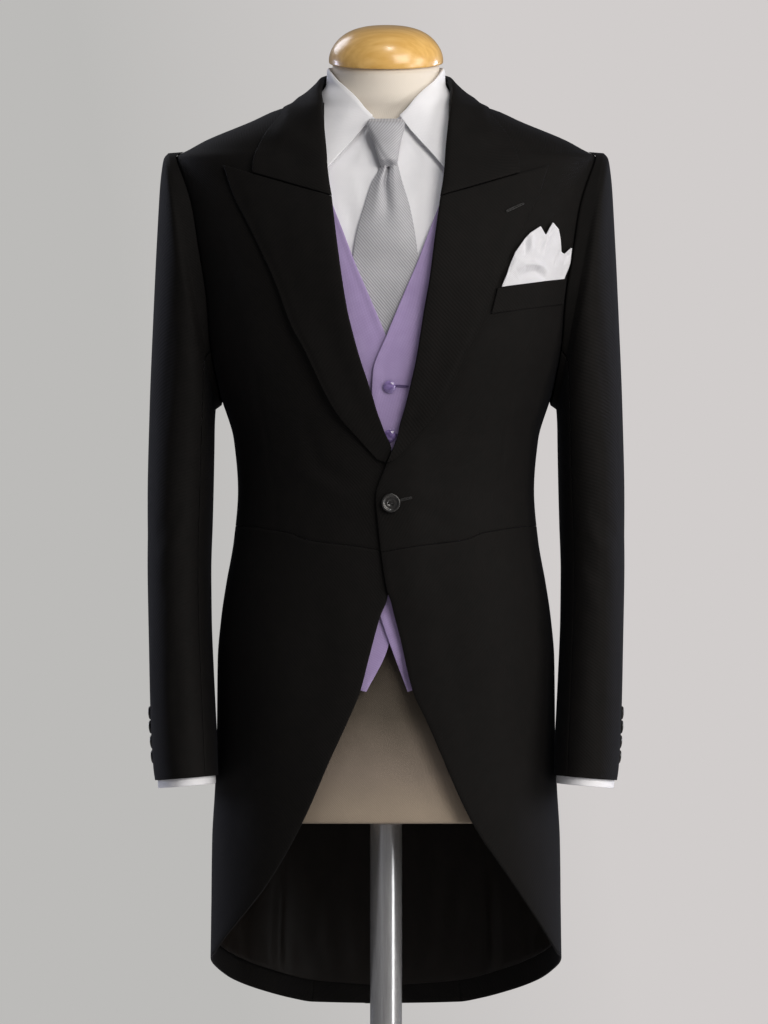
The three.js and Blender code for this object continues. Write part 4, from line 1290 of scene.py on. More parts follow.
@dataclass
class CoatCut:
    """The seams and edges that all the coat's panels share."""

    waist: float = 1056
    waist_dip: float = 27
    waist_fade: float = 1120
    neck: float = 1497
    underarm: float = 1187
    shoulder: float = 1441
    roll_end: float = 1120
    hem: float = 555
    corner: float = 610
    back_seam_top: float = 1330
    front_lap: float = 4
    vent_lap: float = 22
    vent_lift: float = 2.8
    armhole_middle: Pair = (10, 1314)
    armhole_half_height: float = 127
    armhole_before: float = 64
    armhole_behind: float = 72

    def __post_init__(self) -> None:
        """Reads the tables of the cut."""
        self.roll = {
            Side.LEFT: Curve(
                [1120, 1131, 1147, 1164, 1181, 1206, 1231, 1255, 1280, 1312, 1353, 1395, 1437, 1478, 1500],
                [0, 4.5, 11, 16, 21, 27, 32.4, 36.2, 40, 45.5, 50.8, 56.5, 62.5, 65.5, 66],
            ),
            Side.RIGHT: Curve(
                [1120, 1131, 1139, 1147, 1156, 1173, 1189, 1206, 1231, 1255, 1280, 1312, 1353, 1395, 1437]
                + [1478, 1500],
                [-2, -6, -5, -1.6, 3.2, 10, 14.8, 20.3, 28.6, 35.4, 41.4, 46.8, 52.6, 57.6, 62, 64.5, 65],
            ),
        }
        self.cutaway = {
            Side.LEFT: Curve(
                [610, 644, 685, 747, 854, 884, 940, 963, 979, 988, 1032, 1056, 1086, 1120],
                [181, 160, 132.6, 90.5, 42, 28, 14.6, 8.6, 4.6, 1.2, -5.7, -8.3, -10.7, 0],
            ),
            Side.RIGHT: Curve(
                [610, 624, 644, 684, 748, 814, 854, 884, 922, 950, 963, 979, 1000, 1026, 1056, 1086, 1120],
                [181, 172, 156, 124.3, 87.4, 58, 39.5, 27, 17, 9.6, 5.6, -0.8, -4.5, -6, -8, -10, -1],
            ),
        }
        self.drop = Curve([0, 20, 45, 53, 77, 92], [0, 0.5, 7, 14, 21.4, self.waist_dip])
        self.hem_height = Curve(
            [-90, -60, -52, -40, -28, -15, 0, 9], [self.hem, 557, 561, 570, 581, 595, 606, 610]
        )
        under = float(self.armhole_back(self.underarm))
        self.side_seam = Curve([self.waist, self.underarm], [-12, under])
        top = float(COAT.skin(self.armhole_back(self.back_seam_top), self.back_seam_top)[0])
        self.back_width = Curve(
            [560, 700, 850, 990, 1055, 1120, 1200, 1260, 1300, self.back_seam_top],
            [78, 66, 52, 42, 38, 46, 78, 112, 143, top],
        )

    def armhole_share(self, z: Any) -> Array:
        """How far out to the armhole's side edges a height is, from 0 to 1."""
        off = (np.asarray(z, float) - self.armhole_middle[1]) / self.armhole_half_height
        return np.sqrt(np.maximum(0, 1 - off**2))

    def armhole_front(self, z: Any) -> Array:
        """The angle of the armhole's front edge at a height."""
        return COAT.depth_angle(self.armhole_middle[0] - self.armhole_before * self.armhole_share(z), z)

    def armhole_back(self, z: Any) -> Array:
        """The angle of the armhole's back edge at a height."""
        return COAT.depth_angle(self.armhole_middle[0] + self.armhole_behind * self.armhole_share(z), z)

    def edge(self, side: Side, z: Any) -> Array:
        """The distance of a front edge from the centre line at a height."""
        return np.where(np.asarray(z) < self.roll_end, self.cutaway[side](z), self.roll[side](z))

    def back_seam(self, z: Any) -> Array:
        """The angle of the curved back seam at a height."""
        return COAT.back_angle(self.back_width(z), z)

    def lap(self, side: Side, angle: Array, z: Array) -> Array:
        """How far the left front is lifted where it laps over the right one."""
        if side is Side.RIGHT:
            return np.zeros(np.shape(angle))
        across = 1 - ease(COAT.skin(angle, z)[..., 0], 22, 60)
        rise = ease(z, 950, 1000) * (1 - ease(z, 1122, 1165))
        return np.where(angle < 0, 0, self.front_lap * across * rise)

    def vent(self, side: Side, angle: Array, z: Array) -> Array:
        """How far the left tail is lifted where it laps over the right one."""
        if side is Side.RIGHT:
            return np.zeros(np.shape(angle))
        across = 1 - ease(COAT.skin(angle, z)[..., 0], 8, 45)
        return self.vent_lift * across * (1 - ease(z, 1040, 1075))

    def front_side(self, z: Array) -> Array:
        """The forepart's edge away from the front: side seam, armhole, shoulder seam."""
        under = self.side_seam(z) + SEAM_ANGLE
        around = self.armhole_front(z) + SEAM_ANGLE
        return np.where(z < self.underarm, under, np.where(z < self.shoulder, around, SEAM_ANGLE))

    def back_side(self, z: Array) -> Array:
        """The back's outer edge: curved back seam, armhole, shoulder seam."""
        seam = self.back_seam(z) - SEAM_ANGLE
        around = np.where(z < self.shoulder, self.armhole_back(z), -SEAM_ANGLE)
        return np.where(z <= self.back_seam_top, seam, around)


CUT = CoatCut()


def dense(stops: Sequence[float], step: float) -> Array:
    """Rows at every stop, with even rows between them.

    Args:
        stops: heights that get a row.
        step: the greatest distance between rows.

    Returns:
        Shares from 0 to 1 of the way from the first stop to the last.
    """
    rows = [float(stops[0])]
    for low, high in zip(stops, stops[1:]):
        count = max(1, int(np.ceil((high - low) / step)))
        rows += list(np.linspace(low, high, count + 1)[1:])
    return (np.array(rows) - rows[0]) / (rows[-1] - rows[0])


@dataclass
class CoatBody:
    """The foreparts, side bodies, back and skirts of the coat."""

    wall: float = 2
    skirt_low: float = 560
    sidebody_top: float = 1326
    lining_top: float = 900
    creases: dict = field(default_factory=dict)

    def __post_init__(self) -> None:
        """Lays the creases of each panel."""
        front, c = front_crease, COAT
        dart = front(c, [(137, 1226), (131, 1180), (121, 1120), (113, 1053)], -0.8, 2.2)
        drape = [
            front(c, [(152, 1330), (140, 1262), (128, 1205)], 1.3, 17),
            front(c, [(168, 1255), (150, 1180), (140, 1120)], -1.1, 15),
            front(c, [(90, 1170), (70, 1120), (30, 1092)], -1.2, 9),
            front(c, [(104, 1125), (66, 1098), (26, 1082)], 0.9, 8),
            front(c, [(80, 1052), (48, 1066), (22, 1076)], -0.8, 8),
            front(c, [(176, 1408), (150, 1425), (120, 1452)], -0.9, 12),
        ]
        self.creases["forepart"] = [dart, *drape]
        self.creases["skirt"] = [
            front(c, [(120, 1020), (112, 900), (118, 760)], 1.5, 22),
            front(c, [(70, 1010), (66, 930), (74, 850)], -1.2, 18),
            front(c, [(152, 1000), (150, 860), (156, 700)], -1.4, 20),
            Crease(((4, 1020), (2, 860), (6, 660)), 1.8, 24),
            Crease(((-20, 1010), (-24, 860), (-20, 640)), -2.0, 20),
            Crease(((-42, 1000), (-46, 840), (-48, 640)), 2.2, 18),
        ]
        self.creases["back"] = [
            Crease(((-78, 1180), (-66, 1150), (-52, 1128)), -1.3, 12),
            Crease(((-80, 1108), (-66, 1096), (-52, 1086)), 1.1, 10),
            Crease(((-62, 1420), (-50, 1360), (-38, 1290)), 1.6, 18),
            Crease(((-46, 1400), (-38, 1340), (-32, 1280)), -1.5, 14),
            Crease(((-84, 1440), (-76, 1380), (-72, 1300)), -0.9, 18),
            Crease(((-76, 1000), (-74, 820), (-76, 640)), 2.0, 16),
            Crease(((-62, 1010), (-60, 800), (-58, 620)), -1.8, 15),
            Crease(((-86, 900), (-85, 760), (-84, 620)), -1.2, 12),
        ]
        self.creases["sidebody"] = [
            Crease(((-30, 1260), (-24, 1200), (-20, 1130)), -1.2, 12),
            Crease(((-40, 1160), (-34, 1110), (-24, 1080)), 1.0, 12),
        ]

    def relief(self, panel: str, angle: Array, z: Array) -> Array:
        """The creases of a panel at its points."""
        return creased(self.creases[panel], angle, z)

    def forepart(self, side: Side) -> Wall:
        """One front of the coat, above the waist seam.

        Args:
            side: the half.

        Returns:
            Its mesh.
        """
        low = CUT.waist + SEAM_GAP / 2

        def place(u: Array, v: Array) -> Spot:
            """Runs from the side edge to the front edge, with the waist seam's dip."""
            z = mix(low, CUT.neck, v)
            fade = 1 - ease(z, CUT.waist, CUT.waist_fade)
            edge_z = z - fade * CUT.waist_dip
            edge = COAT.front_angle(CUT.edge(side, edge_z), edge_z)
            angle = mix_angle(CUT.front_side(z), edge, u)
            return angle, z - fade * CUT.drop(angle)

        def outer(angle: Array, z: Array, u: Array, v: Array) -> Array:
            """Lap and creases."""
            return CUT.lap(side, angle, z) + self.relief("forepart", angle, z)

        rows = dense([low, CUT.underarm, 1196, CUT.shoulder, 1470, CUT.neck], 3.2)
        points = panel_points(COAT, side, place, outer, self.wall)
        return Wall(f"coat_forepart_{side.word}_cloth", shares(76), rows, points, edge=0.4)

    def skirt(self, side: Side) -> Wall:
        """One skirt, from the back seam to the cutaway edge.

        Args:
            side: the half.

        Returns:
            Its mesh.
        """
        low, high = self.skirt_low, CUT.waist - SEAM_GAP / 2

        def left(v: Array) -> Spot:
            """The back seam."""
            z = mix(low, high, v)
            return CUT.back_seam(z) + SEAM_ANGLE, z

        def right(v: Array) -> Spot:
            """The cutaway front edge."""
            z = mix(CUT.corner, high - CUT.waist_dip, v)
            return COAT.front_angle(CUT.edge(side, z), z), z

        place = strip(left, right, CUT.hem_height, lambda angle: high - CUT.drop(angle))

        def outer(angle: Array, z: Array, u: Array, v: Array) -> Array:
            """Lap, creases and the soft turn of the front edge."""
            roll = -0.6 * hump(1 - u, 0, 0.03)
            return CUT.lap(side, angle, z) + self.relief("skirt", angle, z) * ease(1 - u, 0, 0.12) + roll

        points = panel_points(COAT, side, place, outer, self.wall)
        return Wall(f"coat_skirt_{side.word}_cloth", shares(90), shares(126), points, edge=0.4)

    def sidebody(self, side: Side) -> Wall:
        """The narrow panel under the armhole.

        Args:
            side: the half.

        Returns:
            Its mesh.
        """
        low, high = CUT.waist + 1.4 * SEAM_GAP, self.sidebody_top

        def place(u: Array, v: Array) -> Spot:
            """Runs from the curved back seam to the side seam."""
            z = mix(low, high, v)
            seam = np.where(z < CUT.underarm, CUT.side_seam(z), CUT.armhole_back(z)) - SEAM_ANGLE
            return mix_angle(CUT.back_seam(z) + SEAM_ANGLE, seam, u), z

        def outer(angle: Array, z: Array, u: Array, v: Array) -> Array:
            """Creases, flat at the seams."""
            return self.relief("sidebody", angle, z) * np.sin(np.pi * np.clip(u, 0, 1))

        rows = dense([low, CUT.underarm, 1196, high], 3.6)
        points = panel_points(COAT, side, place, outer, self.wall)
        return Wall(f"coat_sidebody_{side.word}_cloth", shares(30), rows, points, edge=0.4)

    def back(self, side: Side) -> Wall:
        """One half of the back, down to the hem of the tail.

        Args:
            side: the half.

        Returns:
            Its mesh.
        """

        def place(u: Array, v: Array) -> Spot:
            """Runs from the centre back to the outer edge, with the vent's lap."""
            z = mix(CUT.hem, CUT.neck, v)
            lap = CUT.vent_lap * (1 - ease(z, 1030, 1040)) if side is Side.LEFT else 0
            angle = mix_angle(COAT.back_angle(SEAM_GAP / 2 - lap, z), CUT.back_side(z), u)
            hem = (CUT.hem_height(angle) - CUT.hem) * (1 - ease(z, CUT.hem, 600))
            return angle, z + hem

        def outer(angle: Array, z: Array, u: Array, v: Array) -> Array:
            """Vent lap and creases, flat at the edges."""
            flat = ease(u, 0, 0.08) * ease(1 - u, 0, 0.08)
            return CUT.vent(side, angle, z) + self.relief("back", angle, z) * flat

        stops = [CUT.hem, 1030, 1040, CUT.waist, CUT.underarm, CUT.back_seam_top, CUT.shoulder, CUT.neck]
        points = panel_points(COAT, side, place, outer, self.wall)
        return Wall(f"coat_back_{side.word}_cloth", shares(44), dense(stops, 4.4), points, edge=0.4)

    def lining(self, side: Side) -> Wall:
        """The lining inside a tail.

        Args:
            side: the half.

        Returns:
            Its mesh.
        """
        top, low = self.lining_top, Curve([-90, -60, -40, -20, 5], [574, 580, 594, 612, 632])

        def left(v: Array) -> Spot:
            """The edge by the centre back."""
            z = mix(float(low(-90)), top, v)
            return COAT.back_angle(3, z), z

        def right(v: Array) -> Spot:
            """The edge inside the cutaway."""
            z = mix(float(low(5)), top, v)
            return COAT.front_angle(CUT.edge(side, z), z) - 9, z

        place = strip(left, right, low, lambda angle: np.full(angle.shape, top))
        folds = [
            Crease(((-47, 690), (-46, 640), (-45, 585)), -3.4, 5),
            Crease(((-51, 700), (-50, 650), (-50, 590)), 1.6, 5),
            Crease(((-72, 760), (-70, 680), (-71, 590)), -2.2, 9),
            Crease(((-80, 740), (-81, 660), (-79, 585)), 1.2, 8),
            Crease(((-28, 760), (-30, 690), (-27, 620)), -2.4, 10),
            Crease(((-10, 760), (-12, 700), (-9, 640)), 1.0, 10),
            Crease(((-60, 690), (-62, 640), (-58, 588)), -1.6, 7),
        ]

        def outer(angle: Array, z: Array, u: Array, v: Array) -> Array:
            """Folds that stay inside the tail, with puckers above the hem."""
            pucker = -0.5 * (1 + np.sin(evenly(angle) * 46)) * hump(z, 604, 16)
            return -5.9 + np.minimum(creased(folds, angle, z) + pucker, 0.2)

        points = panel_points(COAT, side, place, outer, 1.0)
        return Wall(f"coat_lining_{side.word}_cloth", shares(90), shares(44), points, edge=0.5)

    def build(self, dresser: Dresser) -> None:
        """Makes all the panels.

        Args:
            dresser: gives the pieces their finish.
        """
        over = Cut("hung", ("form_torso_linen",))
        for side in Side:
            for panel in (self.forepart, self.sidebody, self.back, self.skirt):
                dresser.cloth(panel(side), COAT_WOOL, "coat_wool", over)
            inside = Cut("hung", (f"coat_skirt_{side.word}_cloth",))
            dresser.cloth(self.lining(side), COAT_LINING, "coat_lining", inside)


@dataclass
class CoatFront:
    """The lapels, the collar with its stand, and the breast welt."""

    out: float = 3.2
    peak: Pair = (168, 1430.5)
    notch: Pair = (138.5, 1421.7)
    gorge: Pair = (56, 1397)
    gorge_gap: float = 0.5
    roll_turn: float = 1.4
    spring: float = 3.4
    lapel_foot: float = 1122
    stand_end: float = 22
    welt_foot: tuple[Pair, Pair] = ((108.5, 1276.3), (183.0, 1287.0))
    welt_head: tuple[Pair, Pair] = ((115.0, 1303.2), (186.0, 1313.0))

    def __post_init__(self) -> None:
        """Reads the outline tables."""
        self.lapel_edge = Curve(
            [1121, 1173, 1242, 1264, 1307, 1369, 1400, self.peak[1]],
            [2, 50, 85, 97, 113.4, 142.5, 158, self.peak[0]],
        )
        end = (34.6, self.notch[1] + self.gorge_gap)
        self.collar_edge = columns(
            [
                [0, -90, 1479],
                [0.27, -45, 1484],
                [0.53, 0, 1495],
                [0.7, 24.5, 1484],
                [0.78, 28.5, 1471],
                [1, *end],
            ]
        )
        fold_end = (65.7, self.gorge[1] + self.gorge_gap)
        self.collar_fold = columns(
            [
                [0, -90, 1529],
                [0.19, -45, 1527],
                [0.375, 0, 1521],
                [0.57, 39, 1500],
                [0.675, 51.1, 1478],
                [0.84, 59.6, 1437],
                [1, *fold_end],
            ]
        )

    def lapel(self, side: Side) -> Wall:
        """A peak lapel, rolling out of the front edge.

        Args:
            side: the half.

        Returns:
            Its mesh.
        """
        low, edge_low = self.lapel_foot, self.lapel_foot + 3

        def inner_edge(z: Any) -> Array:
            """The roll line, past the forepart's edge, and clear of the other front at its foot."""
            turn = self.roll_turn * ease(z, 1145, 1165)
            clear = 0.0 if side is Side.LEFT else 3.4 * (1 - ease(z, 1124, 1142))
            return CUT.roll[side](z) - turn + clear

        def left(v: Array) -> Spot:
            """The roll line."""
            z = mix(low, self.gorge[1], v)
            return on_front(COAT, inner_edge(z), z)

        def right(v: Array) -> Spot:
            """The outer edge, up to the peak."""
            z = mix(edge_low, self.peak[1], v)
            return on_front(COAT, self.lapel_edge(z) + 3 * (1 - ease(z, 1125, 1160)), z)

        inner_foot = (float(inner_edge(low)), low)
        outer_foot = (float(self.lapel_edge(edge_low)) + 3, edge_low)
        place = patch(
            left,
            right,
            lambda u: on_front(COAT, *between(inner_foot, outer_foot, u)),
            lambda u: on_front(COAT, *between(self.gorge, self.peak, u)),
        )
        folds = [
            front_crease(COAT, [(88, 1404), (82, 1340), (66, 1262)], 0.9, 16),
            front_crease(COAT, [(118, 1405), (104, 1345), (82, 1272)], -0.7, 13),
        ]

        def outer(angle: Array, z: Array, u: Array, v: Array) -> Array:
            """The belly by the roll, and a lapel edge that lies close to the chest."""
            wide = 6 + 92 * v
            belly = 2.6 * hump(u * wide, 5, 15) * ease(v, 0.02, 0.3) * (1 - 0.35 * ease(v, 0.75, 1))
            tip = 0.9 * ease(u, 0.75, 1) * ease(v, 0.88, 1)
            lie = -0.5 * hump(1 - u, 0.06, 0.07) * ease(v, 0.1, 0.3)
            spring = self.spring * ease(u, 0.3, 1) * ease(v, 0.03, 0.22) * (1 - ease(v, 0.3, 0.75))
            soft = creased(folds, angle, z) * ease(v, 0, 0.1) * ease(1 - v, 0, 0.06)
            return self.out + CUT.lap(side, angle, z) + belly + tip + lie + spring + soft

        def thick(u: Array, v: Array) -> Array:
            """Thicker where the cloth turns at the roll line."""
            wide = 6 + 92 * v
            turn = 3.4 * hump(u * wide, 0, 7) * ease(v, 0.02, 0.3)
            return 2.0 + turn

        points = panel_points(COAT, side, place, outer, thick)
        return Wall(f"coat_lapel_{side.word}_cloth", shares(64), shares(128), points, edge=1.0)

    def collar(self) -> Wall:
        """The fall of the collar, folded over its stand.

        Returns:
            Its mesh.
        """
        notch = (self.notch[0], self.notch[1] + self.gorge_gap)
        gorge = (self.gorge[0] - 0.8, self.gorge[1] + self.gorge_gap)
        edge, fold = self.collar_edge, self.collar_fold
        place = patch(
            lambda v: (np.full(v.shape, -90.0), mix(edge[1](0), fold[1](0), v)),
            lambda v: on_front(COAT, *between(notch, gorge, v)),
            lambda u: (edge[0](u), edge[1](u)),
            lambda u: (fold[0](u), fold[1](u)),
        )

        def outer(angle: Array, z: Array, whole: Array, v: Array) -> Array:
            """Rounded at the fold, close to the shoulder at the edge, with a drape by the notch."""
            share = np.abs(whole)
            roll = 1.0 * hump(1 - v, 0.14, 0.2) - 0.9 * ease(v, 0.93, 1)
            lie = -2.2 * (1 - ease(v, 0, 0.32)) * (1 - ease(share, 0.8, 0.97))
            drape = 2.0 * hump(share, 0.80, 0.05) * hump(v, 0.42, 0.34) * np.where(whole < 0, 1, 0.6)
            hollow = -1.2 * hump(share, 0.88, 0.05) * hump(v, 0.5, 0.3) * np.where(whole < 0, 1, 0.6)
            gorge_fade = 1 - ease(share, 0.97, 1)
            return self.out + 1.6 + (roll + lie + drape + hollow) * (0.35 + 0.65 * gorge_fade)

        def thick(share: Array, v: Array) -> Array:
            """Thicker at the fold, where the cloth doubles over the stand."""
            return 2.0 + 2.0 * ease(v, 0.8, 0.97) * (1 - ease(share, 0.62, 0.7)) + 1.2 * ease(v, 0.86, 1)

        points = panel_points(COAT, None, place, outer, thick)
        return Wall("coat_collar_cloth", shares(220), shares(34), points, edge=0.9)

    def stand(self) -> Wall:
        """The collar's stand, upright round the neck.

        Returns:
            Its mesh.
        """
        top = Curve([-90, -45, 0, self.stand_end], [1527, 1525, 1518.5, 1509])

        def place(share: Array, v: Array) -> Spot:
            """Runs from the centre back to its front end."""
            angle = mix(-90.0, self.stand_end, share)
            return angle, mix(CUT.neck + 1.3, top(angle), v)

        points = panel_points(COAT, None, place, 0.0, 2.0)
        return Wall("coat_collar_stand_cloth", shares(140), shares(8), points)

    def welt(self) -> Wall:
        """The welt of the breast pocket.

        Returns:
            Its mesh.
        """

        def place(u: Array, v: Array) -> Spot:
            """Runs across the chest, rising to the sleeve."""
            foot, head = between(*self.welt_foot, u), between(*self.welt_head, u)
            return on_front(COAT, mix(foot[0], head[0], v), mix(foot[1], head[1], v))

        def outer(angle: Array, z: Array, u: Array, v: Array) -> Array:
            """Pressed flat at its stitched ends, a little open at the top."""
            return self.out - 0.9 + 0.9 * ease(v, 0.1, 0.9) * np.sin(np.pi * np.clip(u, 0.02, 0.98)) ** 0.5

        points = panel_points(COAT, Side.LEFT, place, outer, 1.9)
        return Wall("coat_breast_welt_cloth", shares(44), shares(18), points, edge=0.9)

    def build(self, dresser: Dresser) -> None:
        """Makes the pieces.

        Args:
            dresser: gives them their finish.
        """
        for side in Side:
            on = Cut("folded", (f"coat_forepart_{side.word}_cloth",))
            dresser.cloth(self.lapel(side), COAT_WOOL, "coat_wool", on)
        shoulders = Cut("folded", ("coat_forepart_left_cloth", "coat_back_left_cloth"))
        dresser.cloth(self.collar(), COAT_WOOL, "coat_wool", shoulders)
        dresser.cloth(self.stand(), COAT_WOOL, "coat_wool", shoulders)
        chest = Cut("laid", ("coat_forepart_left_cloth",))
        dresser.cloth(self.welt(), COAT_WOOL, "coat_wool", chest)


@dataclass
class PocketSquare:
    """The folded square, standing out of the breast pocket in three uneven points."""

    out: float = 2.8

    def __post_init__(self) -> None:
        """Reads the outline: place along the welt, then x and z of the top edge."""
        self.share = [0, 1.6, 3.2, 4.8, 6.2, 7.6, 8.6, 9.3, 10, 10.6, 11.4, 12, 12.6, 13.3, 14]
        self.base = Curve([0, 14], [118.9, 183])
        self.top_x = [121, 127, 132.5, 139, 147.5, 158.4, 163.6, 168.4, 171.2, 176.6, 178.4, 179.2]
        self.top_x += [182.4, 190, 187.8]
        self.top_z = [1311, 1325, 1340, 1349, 1359.5, 1366.8, 1357.6, 1366.5, 1371, 1364.5, 1354, 1341]
        self.top_z += [1339, 1346, 1329]

    def wall(self) -> Wall:
        """The square's mesh, with its folds.

        Returns:
            The mesh.
        """
        base_z = Curve([115, 186], [1303.8, 1313.6])

        def place(u: Array, v: Array) -> Spot:
            """Runs along the welt and up to the points."""
            at = u * 14
            foot = self.base(at)
            x = mix(foot, np.interp(at, self.share, self.top_x), v)
            z = mix(base_z(foot), np.interp(at, self.share, self.top_z), v)
            return on_front(COAT, x, z)

        crest = [(133, 1321), (142, 1327.5), (152, 1328.5), (160, 1326), (165, 1319)]
        hollow = [(135, 1313), (145, 1319), (154, 1320), (160, 1317), (163, 1312)]
        folds = [
            front_crease(COAT, [(144, 1358), (143.5, 1347), (142, 1336)], -2.55, 2.6),
            front_crease(COAT, [(149.5, 1360), (149, 1350), (148, 1340)], 1.53, 2.2),
            front_crease(COAT, [(161.5, 1356), (159.5, 1348), (156.5, 1340)], -1.53, 2.0),
            front_crease(COAT, [(173, 1367), (168, 1356), (161, 1335)], -3.23, 2.2),
            front_crease(COAT, [(168.5, 1362), (164.5, 1352), (161, 1343)], 1.36, 1.7),
            front_crease(COAT, [(178, 1343), (175.5, 1334), (173, 1326)], -2.04, 2.2),
            front_crease(COAT, [(188, 1341), (184.5, 1335), (181.5, 1328)], -2.04, 2.0),
            front_crease(COAT, crest, 2.89, 3.0),
            front_crease(COAT, hollow, -2.55, 3.2),
            front_crease(COAT, [(131, 1336), (127, 1326), (123, 1313)], -1.7, 2.0),
            front_crease(COAT, [(126, 1328), (124, 1318), (121.5, 1310)], 1.36, 1.5),
        ]

        def outer(angle: Array, z: Array, u: Array, v: Array) -> Array:
            """The folds, standing off the chest towards the points."""
            lean = 1.2 * ease(v, 0.1, 0.8)
            return self.out + 0.4 + lean + creased(folds, angle, z)

        points = panel_points(COAT, Side.LEFT, place, outer, 1.3)
        return Wall("pocket_square_linen", shares(110), shares(60), points, edge=0.5)

    def build(self, dresser: Dresser) -> None:
        """Makes the square."""
        held = Cut("folded", ("coat_breast_welt_cloth", "coat_forepart_left_cloth"))
        dresser.cloth(self.wall(), SQUARE_LINEN, "square_linen", held)


# Sleeves


@dataclass
class Sleeves:
    """Two-piece coat sleeves, with the shirt's sleeves and cuffs inside."""

    power: float = 2.15
    head_lift: float = 2.5
    head_margin: float = 5.2
    wall: float = 2
    wrist: float = 12
    fore_seam: float = 125
    hind_seam: float = -40
    seam_turn: float = 0.3
    head_share: float = 0.06
    degree_mm: float = 1.15

    def __post_init__(self) -> None:
        """Reads the table of rings and lays the creases."""
        (
            self.outer_x,
            self.outer_z,
            self.inner_x,
            self.inner_z,
            self.middle_y,
            self.half_depth,
        ) = columns(
            [
                [1, 227, 1445, 177.5, 1177.5, 14, 74.5],
                [2, 231.5, 1439.5, 178, 1171, 12.5, 76],
                [3, 235, 1418, 178.5, 1159, 11, 77.5],
                [4, 239, 1353, 178.8, 1137, 9.5, 77],
                [5, 243, 1270, 179.5, 1100, 8, 74],
                [6, 246.5, 1180, 180.5, 1060, 5, 70],
                [7, 248.6, 1086, 182, 1010, 0, 67],
                [8, 248.6, 1020, 181.5, 960, -6, 64],
                [9, 247, 930, 179, 900, -17, 60],
                [10, 245, 850, 176, 840, -30, 57],
                [11, 242, 802, 174.6, 801, -39, 56],
                [12, 240.5, 791.5, 174.4, 797, -42, 55],
                [13, 239.8, 781, 174.2, 786.5, -44, 54.5],
            ]
        )
        self.creases = [
            Crease(((-20, 1360), (-14, 1290), (-16, 1210)), -1.3, 15),
            Crease(((40, 1330), (30, 1250), (24, 1150)), 1.2, 16),
            Crease(((74, 1300), (66, 1220), (60, 1150)), -1.2, 13),
            Crease(((96, 1075), (72, 1058), (44, 1052)), -1.7, 9),
            Crease(((100, 1052), (78, 1034), (46, 1024)), 1.3, 8),
            Crease(((106, 1018), (84, 1004), (56, 1000)), -1.4, 8),
            Crease(((100, 984), (80, 972), (60, 970)), 0.9, 8),
            Crease(((-30, 1080), (-14, 1050), (6, 1040)), -0.8, 12),
            Crease(((30, 960), (24, 900), (28, 840)), 0.8, 14),
            Crease(((84, 930), (78, 880), (80, 830)), -0.9, 12),
        ]

    def head(self, turn: Array, out: Array) -> Array:
        """Points of the first ring, just off the coat round the armhole.

        Args:
            turn: radians round the sleeve.
            out: millimetres outwards.

        Returns:
            Points in millimetres.
        """
        middle_y, middle_z = CUT.armhole_middle
        depth = np.where(np.sin(turn) > 0, CUT.armhole_before, CUT.armhole_behind)
        z = middle_z + (CUT.armhole_half_height + self.head_margin + out) * np.cos(turn)
        y = middle_y - (depth + self.head_margin + out) * np.sin(turn)
        lifted = COAT.out(COAT.depth_angle(y, z), z, self.head_lift)
        return np.stack([lifted[..., 0], y, z], -1)

    def point(self, ring: Array, degrees: Array, out: Array) -> Array:
        """Points of the sleeve.

        Args:
            ring: how far down the sleeve, by the rows of its table.
            degrees: 0 outside, 90 in front, 180 by the body.
            out: millimetres outwards.

        Returns:
            Points in millimetres.
        """
        ring, degrees, out = np.broadcast_arrays(*(np.asarray(k, float) for k in (ring, degrees, out)))
        turn, at = np.radians(degrees), np.maximum(ring, 1)
        outer = np.stack([self.outer_x(at), self.middle_y(at), self.outer_z(at)], -1)
        inner = np.stack([self.inner_x(at), self.middle_y(at), self.inner_z(at)], -1)
        axis = (outer - inner) / 2
        length = np.linalg.norm(axis, axis=-1)
        cos, sin = np.cos(turn), np.sin(turn)
        round_cos = np.sign(cos) * np.abs(cos) ** (2 / self.power)
        round_sin = np.sign(sin) * np.abs(sin) ** (2 / self.power)
        found = (outer + inner) / 2 + axis / length[..., None] * ((length + out) * round_cos)[..., None]
        found[..., 1] -= (self.half_depth(at) + out) * round_sin
        share = np.clip(ring, 0, 1)[..., None]
        return mix(self.head(turn, out), found, share)

    def half(self, name: str, side: Side, turns: Pair, across: int) -> Wall:
        """The top sleeve or the under sleeve.

        Args:
            name: the piece's name.
            side: the half.
            turns: the turns at its two seams.
            across: cells from seam to seam.

        Returns:
            Its mesh.
        """
        head = self.head_share

        def point_at(u: Array, v: Array, depth: Array) -> Array:
            """Gives points with the head at v 0 and the wrist at v 1."""
            down = (v - head) / (1 - head)
            ring = np.where(v < head, v / head, 1 + down * (self.wrist - 1))
            degrees = mix(turns[0], turns[1], u)
            z = self.point(ring, degrees, 0)[..., 2]
            turned_mm = ((degrees + 720 + 180) % 360 - 180) * self.degree_mm
            lift = np.zeros(ring.shape)
            for crease in self.creases:
                path = tuple((a * self.degree_mm, h) for a, h in crease.path)
                lift = lift + Crease(path, crease.depth, crease.width).lift(turned_mm, z)
            seam = np.minimum(u, 1 - u)
            fade = ease(ring, 0.6, 2.5) * (1 - ease(ring, 10.6, 11.6)) * ease(seam, 0, 0.06)
            return on_side(self.point(ring, degrees, lift * fade - (1 - depth) * self.wall), side)

        rows = np.concatenate([np.linspace(0, head, 7)[:-1], np.linspace(head, 1, 130)])
        return Wall(name, shares(across), rows, point_at, edge=0.9)

    def shirt(self, name: str, side: Side, rings: Pair, out: float) -> Wall:
        """A closed band of shirt cloth inside the sleeve.

        Args:
            name: the piece's name.
            side: the half.
            rings: its first and last ring.
            out: how far inside the coat sleeve its outer face lies, below zero.

        Returns:
            Its mesh.
        """

        def point_at(u: Array, v: Array, depth: Array) -> Array:
            """Gives points round the arm, down from the first ring."""
            ring = mix(rings[0], rings[1], v)
            return on_side(self.point(ring, u * 360 - 180, out + (depth - 1) * 1.4), side)

